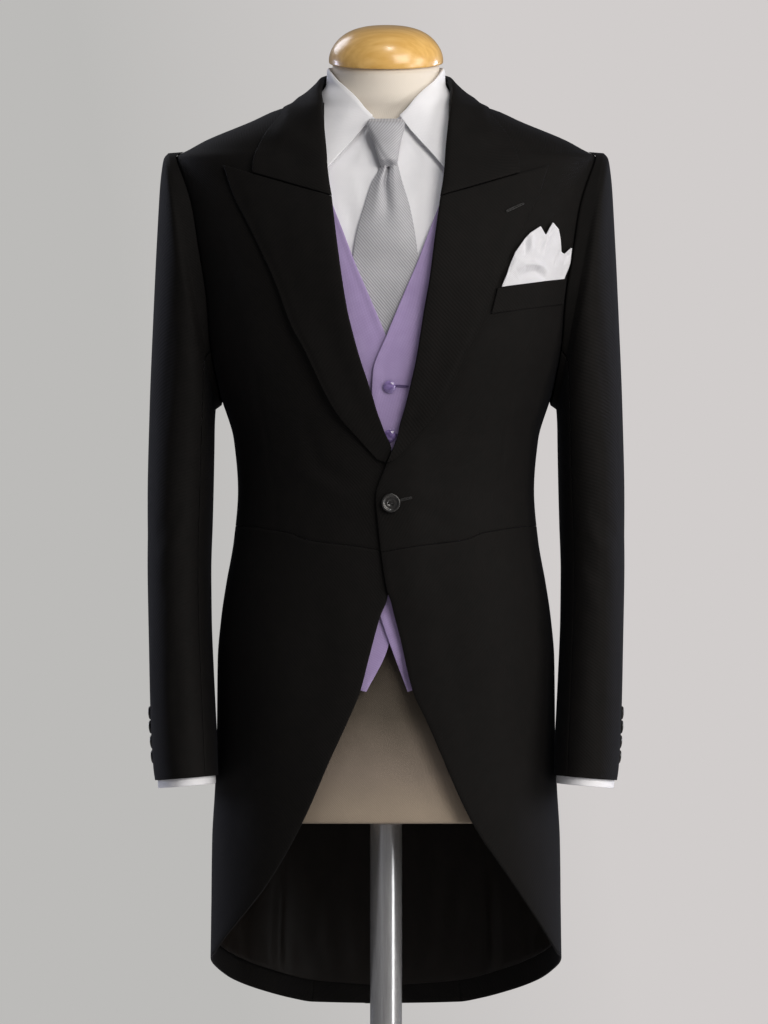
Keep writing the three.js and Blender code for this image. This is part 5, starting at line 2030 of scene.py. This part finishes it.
        around = np.linspace(0, 1, 73)[:-1]
        return Wall(name, around, shares(24), point_at, edge=0.6, ring=True)

    def build(self, dresser: Dresser) -> None:
        """Makes both arms.

        Args:
            dresser: gives the pieces their finish.
        """
        for side in Side:
            word = side.word
            held = Cut("hung", (f"coat_forepart_{word}_cloth", f"shirt_sleeve_{word}_cloth"))
            tops = (self.hind_seam + self.seam_turn, self.fore_seam - self.seam_turn)
            unders = (self.fore_seam + self.seam_turn, self.hind_seam + 360 - self.seam_turn)
            for name, turns, across in (("topsleeve", tops, 64), ("undersleeve", unders, 48)):
                made = self.half(f"coat_{name}_{word}_cloth", side, turns, across)
                dresser.cloth(made, COAT_WOOL, "coat_wool", held)
            inside = Cut("hung", ("shirt_front_left_cloth",))
            for name, rings, out in (("sleeve", (2, 10.6), -5.6), ("cuff", (10.65, 12.8), -2.8)):
                made = self.shirt(f"shirt_{name}_{word}_cloth", side, rings, out)
                dresser.cloth(made, SHIRT_POPLIN, "shirt_cotton", inside)


# Waistcoat, shirt and tie


@dataclass
class Waistcoat:
    """The mauve waistcoat under the coat."""

    out: float = 8.6
    lap: float = 2.8
    point: float = 884
    top: float = 1482
    wall: float = 1.4

    def __post_init__(self) -> None:
        """Reads the outline tables."""
        opening_z = [1256, 1297, 1329, 1345, 1398, 1423, 1450, 1478, 1490]
        opening_x = [1, 18, 32, 38, 58, 63, 69, 74, 76]
        left_z, left_x = [884, 930, 962, 975, 1000, 1195, 1218], [22, 5, -6, -10, -14, -14.6, -13.5]
        right_z, right_x = [884, 930, 962, 1000, 1195, 1218], [20, -2, -8, -13, -14, -13]
        self.edges = {
            Side.LEFT: Curve(left_z + opening_z, left_x + opening_x),
            Side.RIGHT: Curve(right_z + opening_z, right_x + opening_x),
        }
        self.hem = Curve([-90, 0, 30, 60, 78.5], [932, 925, 915, 897, self.point])
        heights = [1205, 1215, 1250, 1300, 1350, 1400, 1440, 1466]
        self.front_arm = Curve(heights, [0, 14, 24, 28, 28, 24, 15, 0])
        self.back_arm = Curve(heights, [0, -12, -20, -24, -24, -20, -12, 0])
        self.creases = [
            front_crease(FORM, [(60, 1180), (34, 1192), (10, 1200)], -0.8, 6),
            front_crease(FORM, [(56, 1150), (32, 1142), (10, 1150)], 0.7, 6),
            front_crease(FORM, [(50, 1290), (40, 1240), (36, 1190)], 0.8, 12),
            front_crease(FORM, [(60, 1120), (34, 1112), (12, 1102)], -0.8, 7),
            front_crease(FORM, [(70, 1040), (44, 1030), (16, 1046)], 0.7, 8),
        ]

    def away(self, z: Array) -> Array:
        """How far the waistcoat stands off the form: a little more over the shirt's collar."""
        return self.out + 2.4 * ease(z, 1380, 1430)

    def front(self, side: Side) -> Wall:
        """One front, with its V and its pointed hem.

        Args:
            side: the half.

        Returns:
            Its mesh.
        """

        def place(u: Array, v: Array) -> Spot:
            """Runs from the side seam to the buttoned edge."""
            z = mix(self.point, self.top, v)
            edge = FORM.front_angle(self.edges[side](z), z)
            angle = mix_angle(self.front_arm(z) + SEAM_ANGLE, edge, u)
            return angle, z + (1 - ease(z, self.point, 1000)) * (self.hem(angle) - self.point)

        def outer(angle: Array, z: Array, u: Array, v: Array) -> Array:
            """The left front laps over the right one, and its edge is pressed."""
            flat = ease(1 - u, 0, 0.08) * ease(v, 0, 0.04)
            soft = creased(self.creases, angle, z) * flat
            pressed = -0.3 * hump(1 - u, 0.05, 0.02) + 0.25 * hump(1 - u, 0, 0.03)
            if side is Side.RIGHT:
                return self.away(z) + np.minimum(soft, 0.4) + pressed
            across = (1 - ease(FORM.skin(angle, z)[..., 0], 16, 48)) * ease(z, 900, 930)
            lift = self.lap * across * (1 - ease(z, 1256, 1300))
            return self.away(z) + lift + soft + pressed

        rows = dense([self.point, 962, 1195, 1256, self.top], 4.2)
        points = panel_points(FORM, side, place, outer, self.wall)
        return Wall(f"waistcoat_front_{side.word}_cloth", shares(52), rows, points, edge=0.7)

    def back(self) -> Wall:
        """The back, under the coat.

        Returns:
            Its mesh.
        """

        def place(share: Array, v: Array) -> Spot:
            """Runs from the centre back to the side seam."""
            z = mix(self.point, self.top, v)
            angle = mix_angle(-90.0, self.back_arm(z) - SEAM_ANGLE, share)
            return angle, z + (1 - ease(z, self.point, 1000)) * (self.hem(angle) - self.point)

        def outer(angle: Array, z: Array, whole: Array, v: Array) -> Array:
            """Just outside the fronts' own distance."""
            return self.away(z) + 0.6

        rows = dense([self.point, 1000, 1205, 1466, self.top], 12)
        points = panel_points(FORM, None, place, outer, self.wall)
        return Wall("waistcoat_back_cloth", shares(60), rows, points)

    def build(self, dresser: Dresser) -> None:
        """Makes both fronts and the back.

        Args:
            dresser: gives the pieces their finish.
        """
        on = Cut("hung", ("shirt_front_left_cloth", "form_torso_linen"))
        for side in Side:
            dresser.cloth(self.front(side), WAISTCOAT_CLOTH, "waistcoat_silk", on)
        dresser.cloth(self.back(), WAISTCOAT_CLOTH, "waistcoat_silk", on)


@dataclass
class Shirt:
    """The white shirt: fronts, back, neckband and the two leaves of its collar."""

    out: float = 3.2
    low: float = 975
    band_low: float = 1500
    wall: float = 1.4
    tip: Pair = (60, 1424)
    spread: Pair = (13.5, 1478)
    leaf_back: float = -89.7

    def __post_init__(self) -> None:
        """Reads the outline tables."""
        self.band_foot = Curve([-90, 35, 90], [self.band_low, self.band_low, 1466])
        self.arm = Curve([1195, 1215, 1260, 1310, 1360, 1400, 1440], [0, 10, 16, 18, 16, 11, 0])
        fold_z = [1536, 1535, 1533, 1531, 1517, 1503, 1481, 1476]
        self.fold = Curve([-90, -45, 0, 10, 38, 60, 80, 90], fold_z)
        self.creases = [
            front_crease(FORM, [(48, 1400), (36, 1376), (30, 1350)], -1.0, 5),
            front_crease(FORM, [(36, 1420), (28, 1398), (24, 1372)], 0.9, 5),
            front_crease(FORM, [(26, 1452), (34, 1436), (46, 1424)], -0.8, 4),
        ]

    def front(self, side: Side) -> Wall:
        """One front, from the side seam to the middle.

        Args:
            side: the half.

        Returns:
            Its mesh.
        """

        def place(u: Array, v: Array) -> Spot:
            """Runs from the side seam to the centre, up to the neckband."""
            z = mix(self.low, self.band_low, v)
            angle = mix_angle(self.arm(z) + 1.5 * SEAM_ANGLE, FORM.front_angle(SEAM_GAP / 2, z), u)
            return angle, z - (self.band_low - self.band_foot(angle)) * ease(z, 1430, self.band_low)

        def outer(angle: Array, z: Array, u: Array, v: Array) -> Array:
            """Smooth, with soft creases beside the tie."""
            return self.out + creased(self.creases, angle, z) * ease(1 - v, 0, 0.05)

        rows = dense([self.low, 1195, 1330, self.band_low], 6)
        points = panel_points(FORM, side, place, outer, self.wall)
        return Wall(f"shirt_front_{side.word}_cloth", shares(48), rows, points, edge=0.5)

    def back(self) -> Wall:
        """The back, under the waistcoat.

        Returns:
            Its mesh.
        """

        def place(share: Array, v: Array) -> Spot:
            """Runs from the centre back to the side seam."""
            z = mix(self.low, self.band_low, v)
            return mix_angle(-90.0, -self.arm(z) - 1.5 * SEAM_ANGLE, share), z

        rows = dense([self.low, 1195, 1440, self.band_low], 12)
        points = panel_points(FORM, None, place, self.out, self.wall)
        return Wall("shirt_back_cloth", shares(60), rows, points)

    def band(self) -> Wall:
        """The neckband.

        Returns:
            Its mesh.
        """

        def place(share: Array, v: Array) -> Spot:
            """Runs from the centre back to its front end."""
            angle = mix(-90.0, 86.0, share)
            return angle, mix(self.band_foot(angle) + 4 * SEAM_GAP, self.fold(angle) - 1.2, v)

        points = panel_points(FORM, None, place, 1.9, 1.1)
        return Wall("shirt_neckband_cloth", shares(140), shares(10), points, edge=0.4)

    def leaf(self, side: Side) -> Wall:
        """One leaf of the collar, folded down over the band and the tie.

        Args:
            side: the half.

        Returns:
            Its mesh.
        """
        front_x, front_z = columns([[0, *self.tip], [0.72, 22, 1466], [1, *self.spread]])
        tip = float(FORM.front_angle(*self.tip))
        low_angle, low_z = columns(
            [[0, tip, self.tip[1]], [0.25, 46, 1452], [0.5, 0, 1492], [1, self.leaf_back, 1496]]
        )
        start = float(FORM.front_angle(*self.spread))

        def fold_angle(u: Array) -> Array:
            """The angle along the fold."""
            return mix(start, self.leaf_back, u)

        place = patch(
            lambda v: on_front(FORM, front_x(v), front_z(v)),
            lambda v: (np.full(v.shape, self.leaf_back), mix(1496.0, 1536.0, v)),
            lambda u: (low_angle(u), low_z(u)),
            lambda u: (fold_angle(u), self.fold(fold_angle(u))),
        )

        def outer(angle: Array, z: Array, u: Array, v: Array) -> Array:
            """Close over the band at the fold, standing off the chest below it."""
            tip_lift = 1.4 * (1 - ease(u, 0, 0.25)) * (1 - ease(v, 0.5, 1))
            stand = 4.5 + 3.9 * (1 - ease(z, 1496, 1514)) + tip_lift
            crown = 1.1 * hump(v, 0.55, 0.3) * ease(u, 0, 0.12) * (1 - ease(u, 0.3, 0.5))
            return stand + crown - 1.0 * ease(v, 0.93, 1)

        def thick(u: Array, v: Array) -> Array:
            """Thicker at the fold, where it turns over the band."""
            return 1.2 + 0.5 * ease(v, 0.9, 1)

        points = panel_points(FORM, side, place, outer, thick)
        return Wall(f"shirt_collar_{side.word}_cloth", shares(120), shares(44), points, edge=0.5)

    def build(self, dresser: Dresser) -> None:
        """Makes the pieces.

        Args:
            dresser: gives them their finish.
        """
        on = Cut("hung", ("form_torso_linen",))
        neck = Cut("folded", ("shirt_neckband_cloth",))
        for side in Side:
            dresser.cloth(self.front(side), SHIRT_POPLIN, "shirt_cotton", on)
            dresser.cloth(self.leaf(side), SHIRT_POPLIN, "shirt_cotton", neck)
        dresser.cloth(self.back(), SHIRT_POPLIN, "shirt_cotton", on)
        dresser.cloth(self.band(), SHIRT_POPLIN, "shirt_cotton", on)


@dataclass
class Tie:
    """The silver tie: its blade and its knot."""

    out: float = 5.4
    wall: float = 1.2
    foot: float = 1166
    head: float = 1448
    knot_foot: float = 1429.5
    knot_head: float = 1479.5
    corners: int = 96

    def __post_init__(self) -> None:
        """Reads the outlines."""
        self.left_edge, self.right_edge = columns(
            [
                [1166, -1, 3],
                [1212, -42, 43],
                [1256, -40, 41],
                [1300, -37, 37],
                [1343, -33.3, 31.8],
                [1359, -30.2, 29.5],
                [1385, -22.9, 24.5],
                [1410, -14.6, 17],
                [1427, -6.5, 12.8],
                [1448, -5, 8],
            ]
        )
        self.middle, self.half_width, self.half_depth = columns(
            [
                [1429.5, 2.7, 8.2, 3.5],
                [1434, 2.5, 9.4, 6],
                [1445, 1.8, 11.9, 7.2],
                [1458, 1, 15.2, 7.4],
                [1470, 0.2, 19, 6.8],
                [1476, 0, 19.4, 5.5],
                [1479.5, 0, 17, 3.2],
            ]
        )

    def blade(self) -> Wall:
        """The blade, with the dimple under the knot.

        Returns:
            Its mesh.
        """

        def place(u: Array, v: Array) -> Spot:
            """Runs from the right edge to the left edge of the blade."""
            z = mix(self.foot, self.head, v)
            return on_front(FORM, mix(self.left_edge(z), self.right_edge(z), u), z)

        def outer(angle: Array, z: Array, u: Array, v: Array) -> Array:
            """Full between its edges, hollow in the dimple."""
            rise = ease(z, 1325, 1352) * (1 - ease(z, 1428, 1440))
            body = 3.2 * rise * (1 - np.abs(2 * u - 1) ** 2.6)
            open_share = ease(z, 1350, 1424) * (1 - ease(z, 1430, 1440))
            wide = 0.07 + 0.08 * (1 - ease(z, 1350, 1420))
            dimple = -5.2 * open_share * hump(u, 0.50 - 0.06 * ease(z, 1380, 1424), wide)
            slit = -3.0 * ease(z, 1400, 1420) * (1 - ease(z, 1430, 1440)) * hump(u, 0.44, 0.05)
            shoulders = 1.6 * open_share * (hump(u, 0.27, 0.12) + hump(u, 0.74, 0.12))
            return self.out + 0.5 + np.maximum(body + dimple + slit + shoulders, -1.6)

        rows = dense([self.foot, 1212, 1330, self.head], 2.2)
        points = panel_points(FORM, Side.LEFT, place, outer, self.wall)
        return Wall("tie_blade_silk", shares(56), rows, points, edge=0.6)

    def knot(self) -> Piece:
        """The knot, wider at its top, with the wrap's edge across it.

        Returns:
            The new object.
        """
        turn = np.linspace(0, 2 * np.pi, self.corners, endpoint=False)
        cos, sin = np.cos(turn), np.sin(turn)
        square_cos = np.sign(cos) * np.abs(cos) ** 0.8
        square_sin = np.sign(sin) * np.abs(sin) ** 0.8
        foot = self.knot_foot + 2.5 * shares(6) ** 2
        head = self.knot_head - 3.5 * (1 - shares(8)[1:]) ** 2
        heights = np.concatenate([foot, np.linspace(1433, 1475, 44), head])
        rings = []
        for z in heights:
            wide = float(self.half_width(z))
            deep = float(self.half_depth(z)) * (0.35 + 0.65 * float(ease(z, 1428, 1438)))
            deep *= 1 - 0.5 * float(ease(z, 1476, self.knot_head))
            seat = mix(7.2, 10.0, float(ease(z, 1452, 1472)))
            front = np.maximum(sin, 0)
            wrap = -0.45 * hump(cos * wide + (z - 1452) * 0.55, -10.5, 2.0) * front
            side = 0.35 * hump(cos * wide + (z - 1452) * 0.55, -6.0, 3.5) * front
            y = float(FORM.front(z)) - seat - deep * (1 + square_sin) - wrap - side
            x = float(self.middle(z)) + wide * square_cos
            rings.append(np.stack([x, y, np.full(self.corners, z)], -1))
        return loft("tie_knot_silk", np.array(rings))

    def build(self, dresser: Dresser) -> None:
        """Makes the blade and the knot.

        Args:
            dresser: gives them their finish.
        """
        knot = dresser.dress(self.knot(), TIE_SILK, "tie_knot")
        hung = Cut("hung", (knot.name, "shirt_front_left_cloth"))
        dresser.cloth(self.blade(), TIE_SILK, "tie_silk", hung)


# Buttons, buttonholes and stitching


@dataclass
class Buttons:
    """Turned buttons with thread in their holes, and the worked buttonholes beside them."""

    sleeves: Sleeves
    front: Pair = (4.9, 1080)
    cuff_heights: tuple[float, ...] = (861.6, 847, 831.4, 815.8)
    cuff_out: tuple[float, ...] = (0.35, 0.35, -0.15, -0.15)
    cuff_turn: float = -18.5
    waistcoat_heights: tuple[float, ...] = (1201.7, 1150.7, 1100, 1049, 998)
    coat_radius: float = 10
    cuff_radius: float = 7
    waistcoat_radius: float = 6.6
    stitch: float = 2.3
    thread_radius: float = 0.42
    twist_radius: float = 0.62

    def axes(self, normal: Array) -> tuple[Array, Array, Array]:
        """Three directions of a button: the one that it faces, and two in its plane.

        Args:
            normal: the direction that it faces, of any length.

        Returns:
            The three directions.
        """
        facing = normal / np.linalg.norm(normal)
        aside = np.cross(facing, [0.0, 0.0, 1.0])
        aside /= np.linalg.norm(aside)
        return facing, aside, np.cross(facing, aside)

    def disc(self, name: str, point: Array, normal: Array, profile: Sequence[Pair]) -> Piece:
        """Turns a profile about the direction that the button faces.

        Args:
            name: the piece's name.
            point: the middle of its underside in millimetres.
            normal: the direction that it faces.
            profile: radius and height pairs from the underside to the face.

        Returns:
            The new object.
        """
        facing, aside, other = self.axes(normal)
        turn = np.linspace(0, 2 * np.pi, 64, endpoint=False)
        ring = aside * np.cos(turn)[:, None] + other * np.sin(turn)[:, None]
        return loft(name, np.array([point + ring * r + facing * h for r, h in profile]))

    def thread(self, name: str, point: Array, normal: Array, height: float) -> Piece:
        """The sewing thread across a button's holes.

        Args:
            name: the piece's name.
            point: the middle of the button's underside.
            normal: the direction that it faces.
            height: how far above the underside it lies.

        Returns:
            The new object.
        """
        facing, aside, other = self.axes(normal)
        loops = []
        for shift in (-0.9, 0.9):
            t = np.linspace(-1, 1, 13)
            bow = height + 0.35 * (1 - t**2)
            along = aside * (t * self.stitch)[:, None]
            loops.append(point + along + other * shift + facing * bow[:, None])
        path = np.concatenate([loops[0], loops[1][::-1]])
        return tube(name, path, self.thread_radius)

    def four_hole(self, radius: float, depth: float) -> list[Pair]:
        """A dished button with a raised rim.

        Args:
            radius: its radius.
            depth: its height at the rim.

        Returns:
            Radius and height pairs.
        """
        r, d = radius, depth
        return [
            (0.05, 0), (r * 0.86, 0), (r * 0.94, d * 0.18), (r, d * 0.5), (r * 0.985, d * 0.74),
            (r * 0.94, d * 0.93), (r * 0.86, d), (r * 0.78, d * 0.95), (r * 0.70, d * 0.78),
            (r * 0.62, d * 0.66), (r * 0.48, d * 0.62), (r * 0.42, d * 0.68), (r * 0.36, d * 0.62),
            (r * 0.26, d * 0.42), (r * 0.12, d * 0.38), (0.05, d * 0.38),
        ]

    def domed(self, radius: float, depth: float) -> list[Pair]:
        """A domed button with a fine rim.

        Args:
            radius: its radius.
            depth: its height in the middle.

        Returns:
            Radius and height pairs.
        """
        r, d = radius, depth
        return [
            (0.05, 0), (r * 0.9, 0), (r * 0.97, d * 0.14), (r, d * 0.32), (r * 0.985, d * 0.5),
            (r * 0.93, d * 0.58), (r * 0.88, d * 0.55), (r * 0.84, d * 0.6), (r * 0.74, d * 0.78),
            (r * 0.6, d * 0.9), (r * 0.42, d * 0.97), (r * 0.2, d), (0.05, d),
        ]

    def hole(self, name: str, body: Body, span: tuple[Pair, Pair], out: float) -> Piece:
        """A worked buttonhole: two close rows of twist round a slit.

        Args:
            name: the piece's name.
            body: the body that carries the cloth.
            span: x and z of its two ends.
            out: how far out the cloth's face lies.

        Returns:
            The new object.
        """
        (ax, az), (bx, bz) = span
        dx, dz = bx - ax, bz - az
        length = float(np.hypot(dx, dz))
        nx, nz = -dz / length, dx / length
        t = np.linspace(0, 2 * np.pi, 61)
        reach = 0.5 - 0.5 * np.cos(t)
        aside = 0.8 * np.sign(np.sin(t)) * np.abs(np.sin(t)) ** 0.35
        x, z = ax + dx * reach + nx * aside, az + dz * reach + nz * aside
        path = body.out(body.front_angle(x, z), z, out)
        return tube(name, path, self.twist_radius)

    def build(self, dresser: Dresser) -> None:
        """Makes every button and buttonhole.

        Args:
            dresser: gives the pieces their finish.
        """
        x, z = self.front
        angle = float(COAT.front_angle(x, z))
        point, facing = COAT.out(angle, z, CUT.front_lap + 0.5), COAT.normal(angle, z)
        button = self.disc("coat_front_button_horn", point, facing, self.four_hole(self.coat_radius, 3.9))
        dresser.dress(button, COAT_HORN, "coat_front_button")
        thread = self.thread("coat_front_button_thread", point, facing, 1.9)
        dresser.dress(thread, BUTTONHOLE_TWIST)
        front_hole = ((13.5, 1082.5), (26, 1085.5))
        made = self.hole("coat_front_buttonhole", COAT, front_hole, CUT.front_lap + 0.35)
        dresser.dress(made, BUTTONHOLE_TWIST)
        lapel_hole = ((123.8, 1381.6), (141.4, 1390))
        made = self.hole("coat_lapel_buttonhole", COAT, lapel_hole, 3.45)
        dresser.dress(made, BUTTONHOLE_TWIST)
        for side in Side:
            self._waist(dresser, side)
            for i, height in enumerate(self.cuff_heights):
                self._cuff(dresser, side, i, height)
        out = Waistcoat.out + Waistcoat.lap + 0.4
        for i, height in enumerate(self.waistcoat_heights):
            angle = float(FORM.front_angle(3.6, height))
            point, facing = FORM.out(angle, height, out), FORM.normal(angle, height)
            name = f"waistcoat_button_{i + 1}"
            domed = self.disc(f"{name}_shell", point, facing, self.domed(self.waistcoat_radius, 2.6))
            dresser.dress(domed, MAUVE_BUTTON, name)
            span = ((10.2, height + 1.2), (22.0, height + 0.4))
            made = self.hole(f"waistcoat_buttonhole_{i + 1}", FORM, span, 11.75)
            dresser.dress(made, MAUVE_TWIST)

    def _waist(self, dresser: Dresser, side: Side) -> None:
        """A button at the top of the back's pleat."""
        angle = float(COAT.back_angle(38.0, CUT.waist))
        point = on_side(COAT.out(angle, CUT.waist, 1.0), side)
        facing = on_side(COAT.normal(angle, CUT.waist), side)
        name = f"coat_waist_button_{side.word}"
        made = self.disc(f"{name}_horn", point, facing, self.four_hole(self.coat_radius, 3.6))
        dresser.dress(made, COAT_HORN, name)
        thread = self.thread(f"{name}_thread", point, facing, 1.8)
        dresser.dress(thread, BUTTONHOLE_TWIST)

    def _cuff(self, dresser: Dresser, side: Side, number: int, height: float) -> None:
        """One button of a sleeve's cuff."""
        low, high = 1.0, self.sleeves.wrist
        while high - low > 0.001:
            middle = (low + high) / 2
            low, high = (middle, high) if self.sleeves.outer_z(middle) > height else (low, middle)
        turn, step = self.cuff_turn, 0.05
        here = self.sleeves.point(low, turn, 0)
        along = self.sleeves.point(low + step, turn, 0) - self.sleeves.point(low - step, turn, 0)
        across = self.sleeves.point(low, turn + step, 0) - self.sleeves.point(low, turn - step, 0)
        facing = np.cross(across, along)
        facing /= np.linalg.norm(facing)
        point, facing = on_side(here, side), on_side(facing, side)
        point = point + facing * self.cuff_out[number]
        name = f"coat_cuff_button_{side.word}_{number + 1}"
        made = self.disc(f"{name}_horn", point, facing, self.four_hole(self.cuff_radius, 2.7))
        dresser.dress(made, COAT_HORN, name)


# Camera, light and stage


@dataclass
class Studio:
    """A pale floor, soft studio light and the photograph's camera."""

    distance: float = 24.0
    aim: Triple = (-0.0021, -0.06, 1.0706)
    tall: float = 1.06496
    film: float = 36
    floor_radius: float = 2600

    def camera(self) -> None:
        """Sets a level camera in front of the suit."""
        data = bpy.data.cameras.new("photo_camera")
        data.sensor_width = self.film
        data.lens = self.film * self.distance / self.tall
        data.clip_end = 100
        made = bpy.data.objects.new("photo_camera", data)
        made.location = (self.aim[0], self.aim[1] - self.distance, self.aim[2])
        made.rotation_euler = (np.pi / 2, 0, 0)
        bpy.context.scene.collection.objects.link(made)
        bpy.context.scene.camera = made

    def lamp(self, name: str, place: Triple, target: Triple, size: Pair, watts: float, tint: str) -> None:
        """Adds a soft rectangular lamp.

        Args:
            name: its name.
            place: where it stands, in metres.
            target: the point that it faces.
            size: its width and height in metres.
            watts: its power.
            tint: its colour.
        """
        data = bpy.data.lights.new(name, "AREA")
        data.shape = "RECTANGLE"
        data.size, data.size_y = size
        data.energy = watts
        data.color = linear(tint)[:3]
        made = bpy.data.objects.new(name, data)
        made.location = place
        aim = Vector(target) - Vector(place)
        made.rotation_euler = aim.to_track_quat("-Z", "Y").to_euler()
        bpy.context.scene.collection.objects.link(made)

    def floor(self, dresser: Dresser) -> None:
        """Lays the pale floor.

        Args:
            dresser: gives it its finish.
        """
        rim, edge = self.floor_radius, self.floor_radius + 4
        profile = [(1, -8), (rim, -8), (edge, -6), (edge, -2), (rim, -0.2), (1, -0.2)]
        made = lathe("studio_floor", profile, 128)
        made.data.materials.append(dresser.material(StageMatt()))

    def world(self) -> None:
        """A grey surround that lights softly; camera rays see it as a backdrop with painted light, darker
        to the left and lighter to the right.
        """
        world = bpy.data.worlds.new("studio_surround")
        world.use_nodes = True
        tree = world.node_tree
        tree.nodes.clear()
        # Painted light on the backdrop: a grey that grows lighter to the right and a little towards the
        # top.
        place = add_node(tree, "ShaderNodeTexCoord")
        parts = add_node(tree, "ShaderNodeSeparateXYZ", {0: place.outputs["Generated"]})
        slant = {0: parts.outputs["Z"], 1: 0.17, 2: parts.outputs["X"]}
        painted_light_slant = add_node(tree, "ShaderNodeMath", slant, operation="MULTIPLY_ADD")
        span = {"Value": painted_light_slant.outputs[0], "From Min": -0.0098, "From Max": 0.0072}
        across = add_node(tree, "ShaderNodeMapRange", span)
        ramp = add_node(tree, "ShaderNodeValToRGB", {"Fac": across.outputs[0]})
        ramp.color_ramp.elements[0].color = linear("#bcbbb9")
        ramp.color_ramp.elements[1].color = linear("#d1cdcc")
        seen = add_node(tree, "ShaderNodeBackground", {"Color": ramp.outputs[0], "Strength": 1.0})
        soft = add_node(tree, "ShaderNodeBackground", {"Color": linear("#cfcfd2"), "Strength": 0.21})
        path = add_node(tree, "ShaderNodeLightPath")
        views = {0: path.outputs["Is Camera Ray"], 1: soft.outputs[0], 2: seen.outputs[0]}
        both = add_node(tree, "ShaderNodeMixShader", views)
        add_node(tree, "ShaderNodeOutputWorld", {"Surface": both.outputs[0]})
        bpy.context.scene.world = world

    def build(self, dresser: Dresser) -> None:
        """Sets up the whole studio.

        Args:
            dresser: gives the floor its finish.
        """
        self.camera()
        self.world()
        self.floor(dresser)
        chest = (0, 0, 1.15)
        self.lamp("key_softbox", (1.8, -2.8, 2.9), chest, (1.9, 2.0), 76, "#fffaf4")
        self.lamp("side_softbox", (3.0, -1.1, 1.8), chest, (1.0, 1.6), 32, "#fffaf4")
        self.lamp("fill_softbox", (-2.0, -3.4, 1.6), chest, (1.4, 1.8), 2, "#f2f4ff")
        self.lamp("top_softbox", (0.2, -1.05, 3.3), (0, 0, 1.4), (0.36, 0.36), 7, "#ffffff")
        self.lamp("strip_right", (2.4, -1.75, 0.7), (0, 0, 0.7), (0.5, 1.1), 10, "#ffffff")
        self.lamp("back_softbox", (-1.9, 2.1, 3.1), chest, (1.4, 1.4), 24, "#f4f5ff")
        self.lamp("rim_right", (2.3, 1.3, 1.35), (0.2, 0, 1.1), (0.4, 0.9), 16, "#dfe4ff")
        self.lamp("rim_left", (-2.3, 1.3, 1.35), (-0.2, 0, 1.1), (0.4, 0.9), 13, "#dfe4ff")
        view = bpy.context.scene.view_settings
        view.view_transform = "Standard"
        view.look = "None"


def main() -> None:
    """Builds the studio and every piece of the suit."""
    logging.basicConfig(level=logging.INFO, format="%(name)s: %(message)s")
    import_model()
    dresser = Dresser()
    Studio().build(dresser)
    Stand().build(dresser)
    DressForm().build(dresser)
    CoatBody().build(dresser)
    CoatFront().build(dresser)
    PocketSquare().build(dresser)
    sleeves = Sleeves()
    sleeves.build(dresser)
    Waistcoat().build(dresser)
    Shirt().build(dresser)
    Tie().build(dresser)
    Buttons(sleeves).build(dresser)
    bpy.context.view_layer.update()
    LOG.info("%d pieces built", dresser.count)


if __name__ == "__main__":
    main()
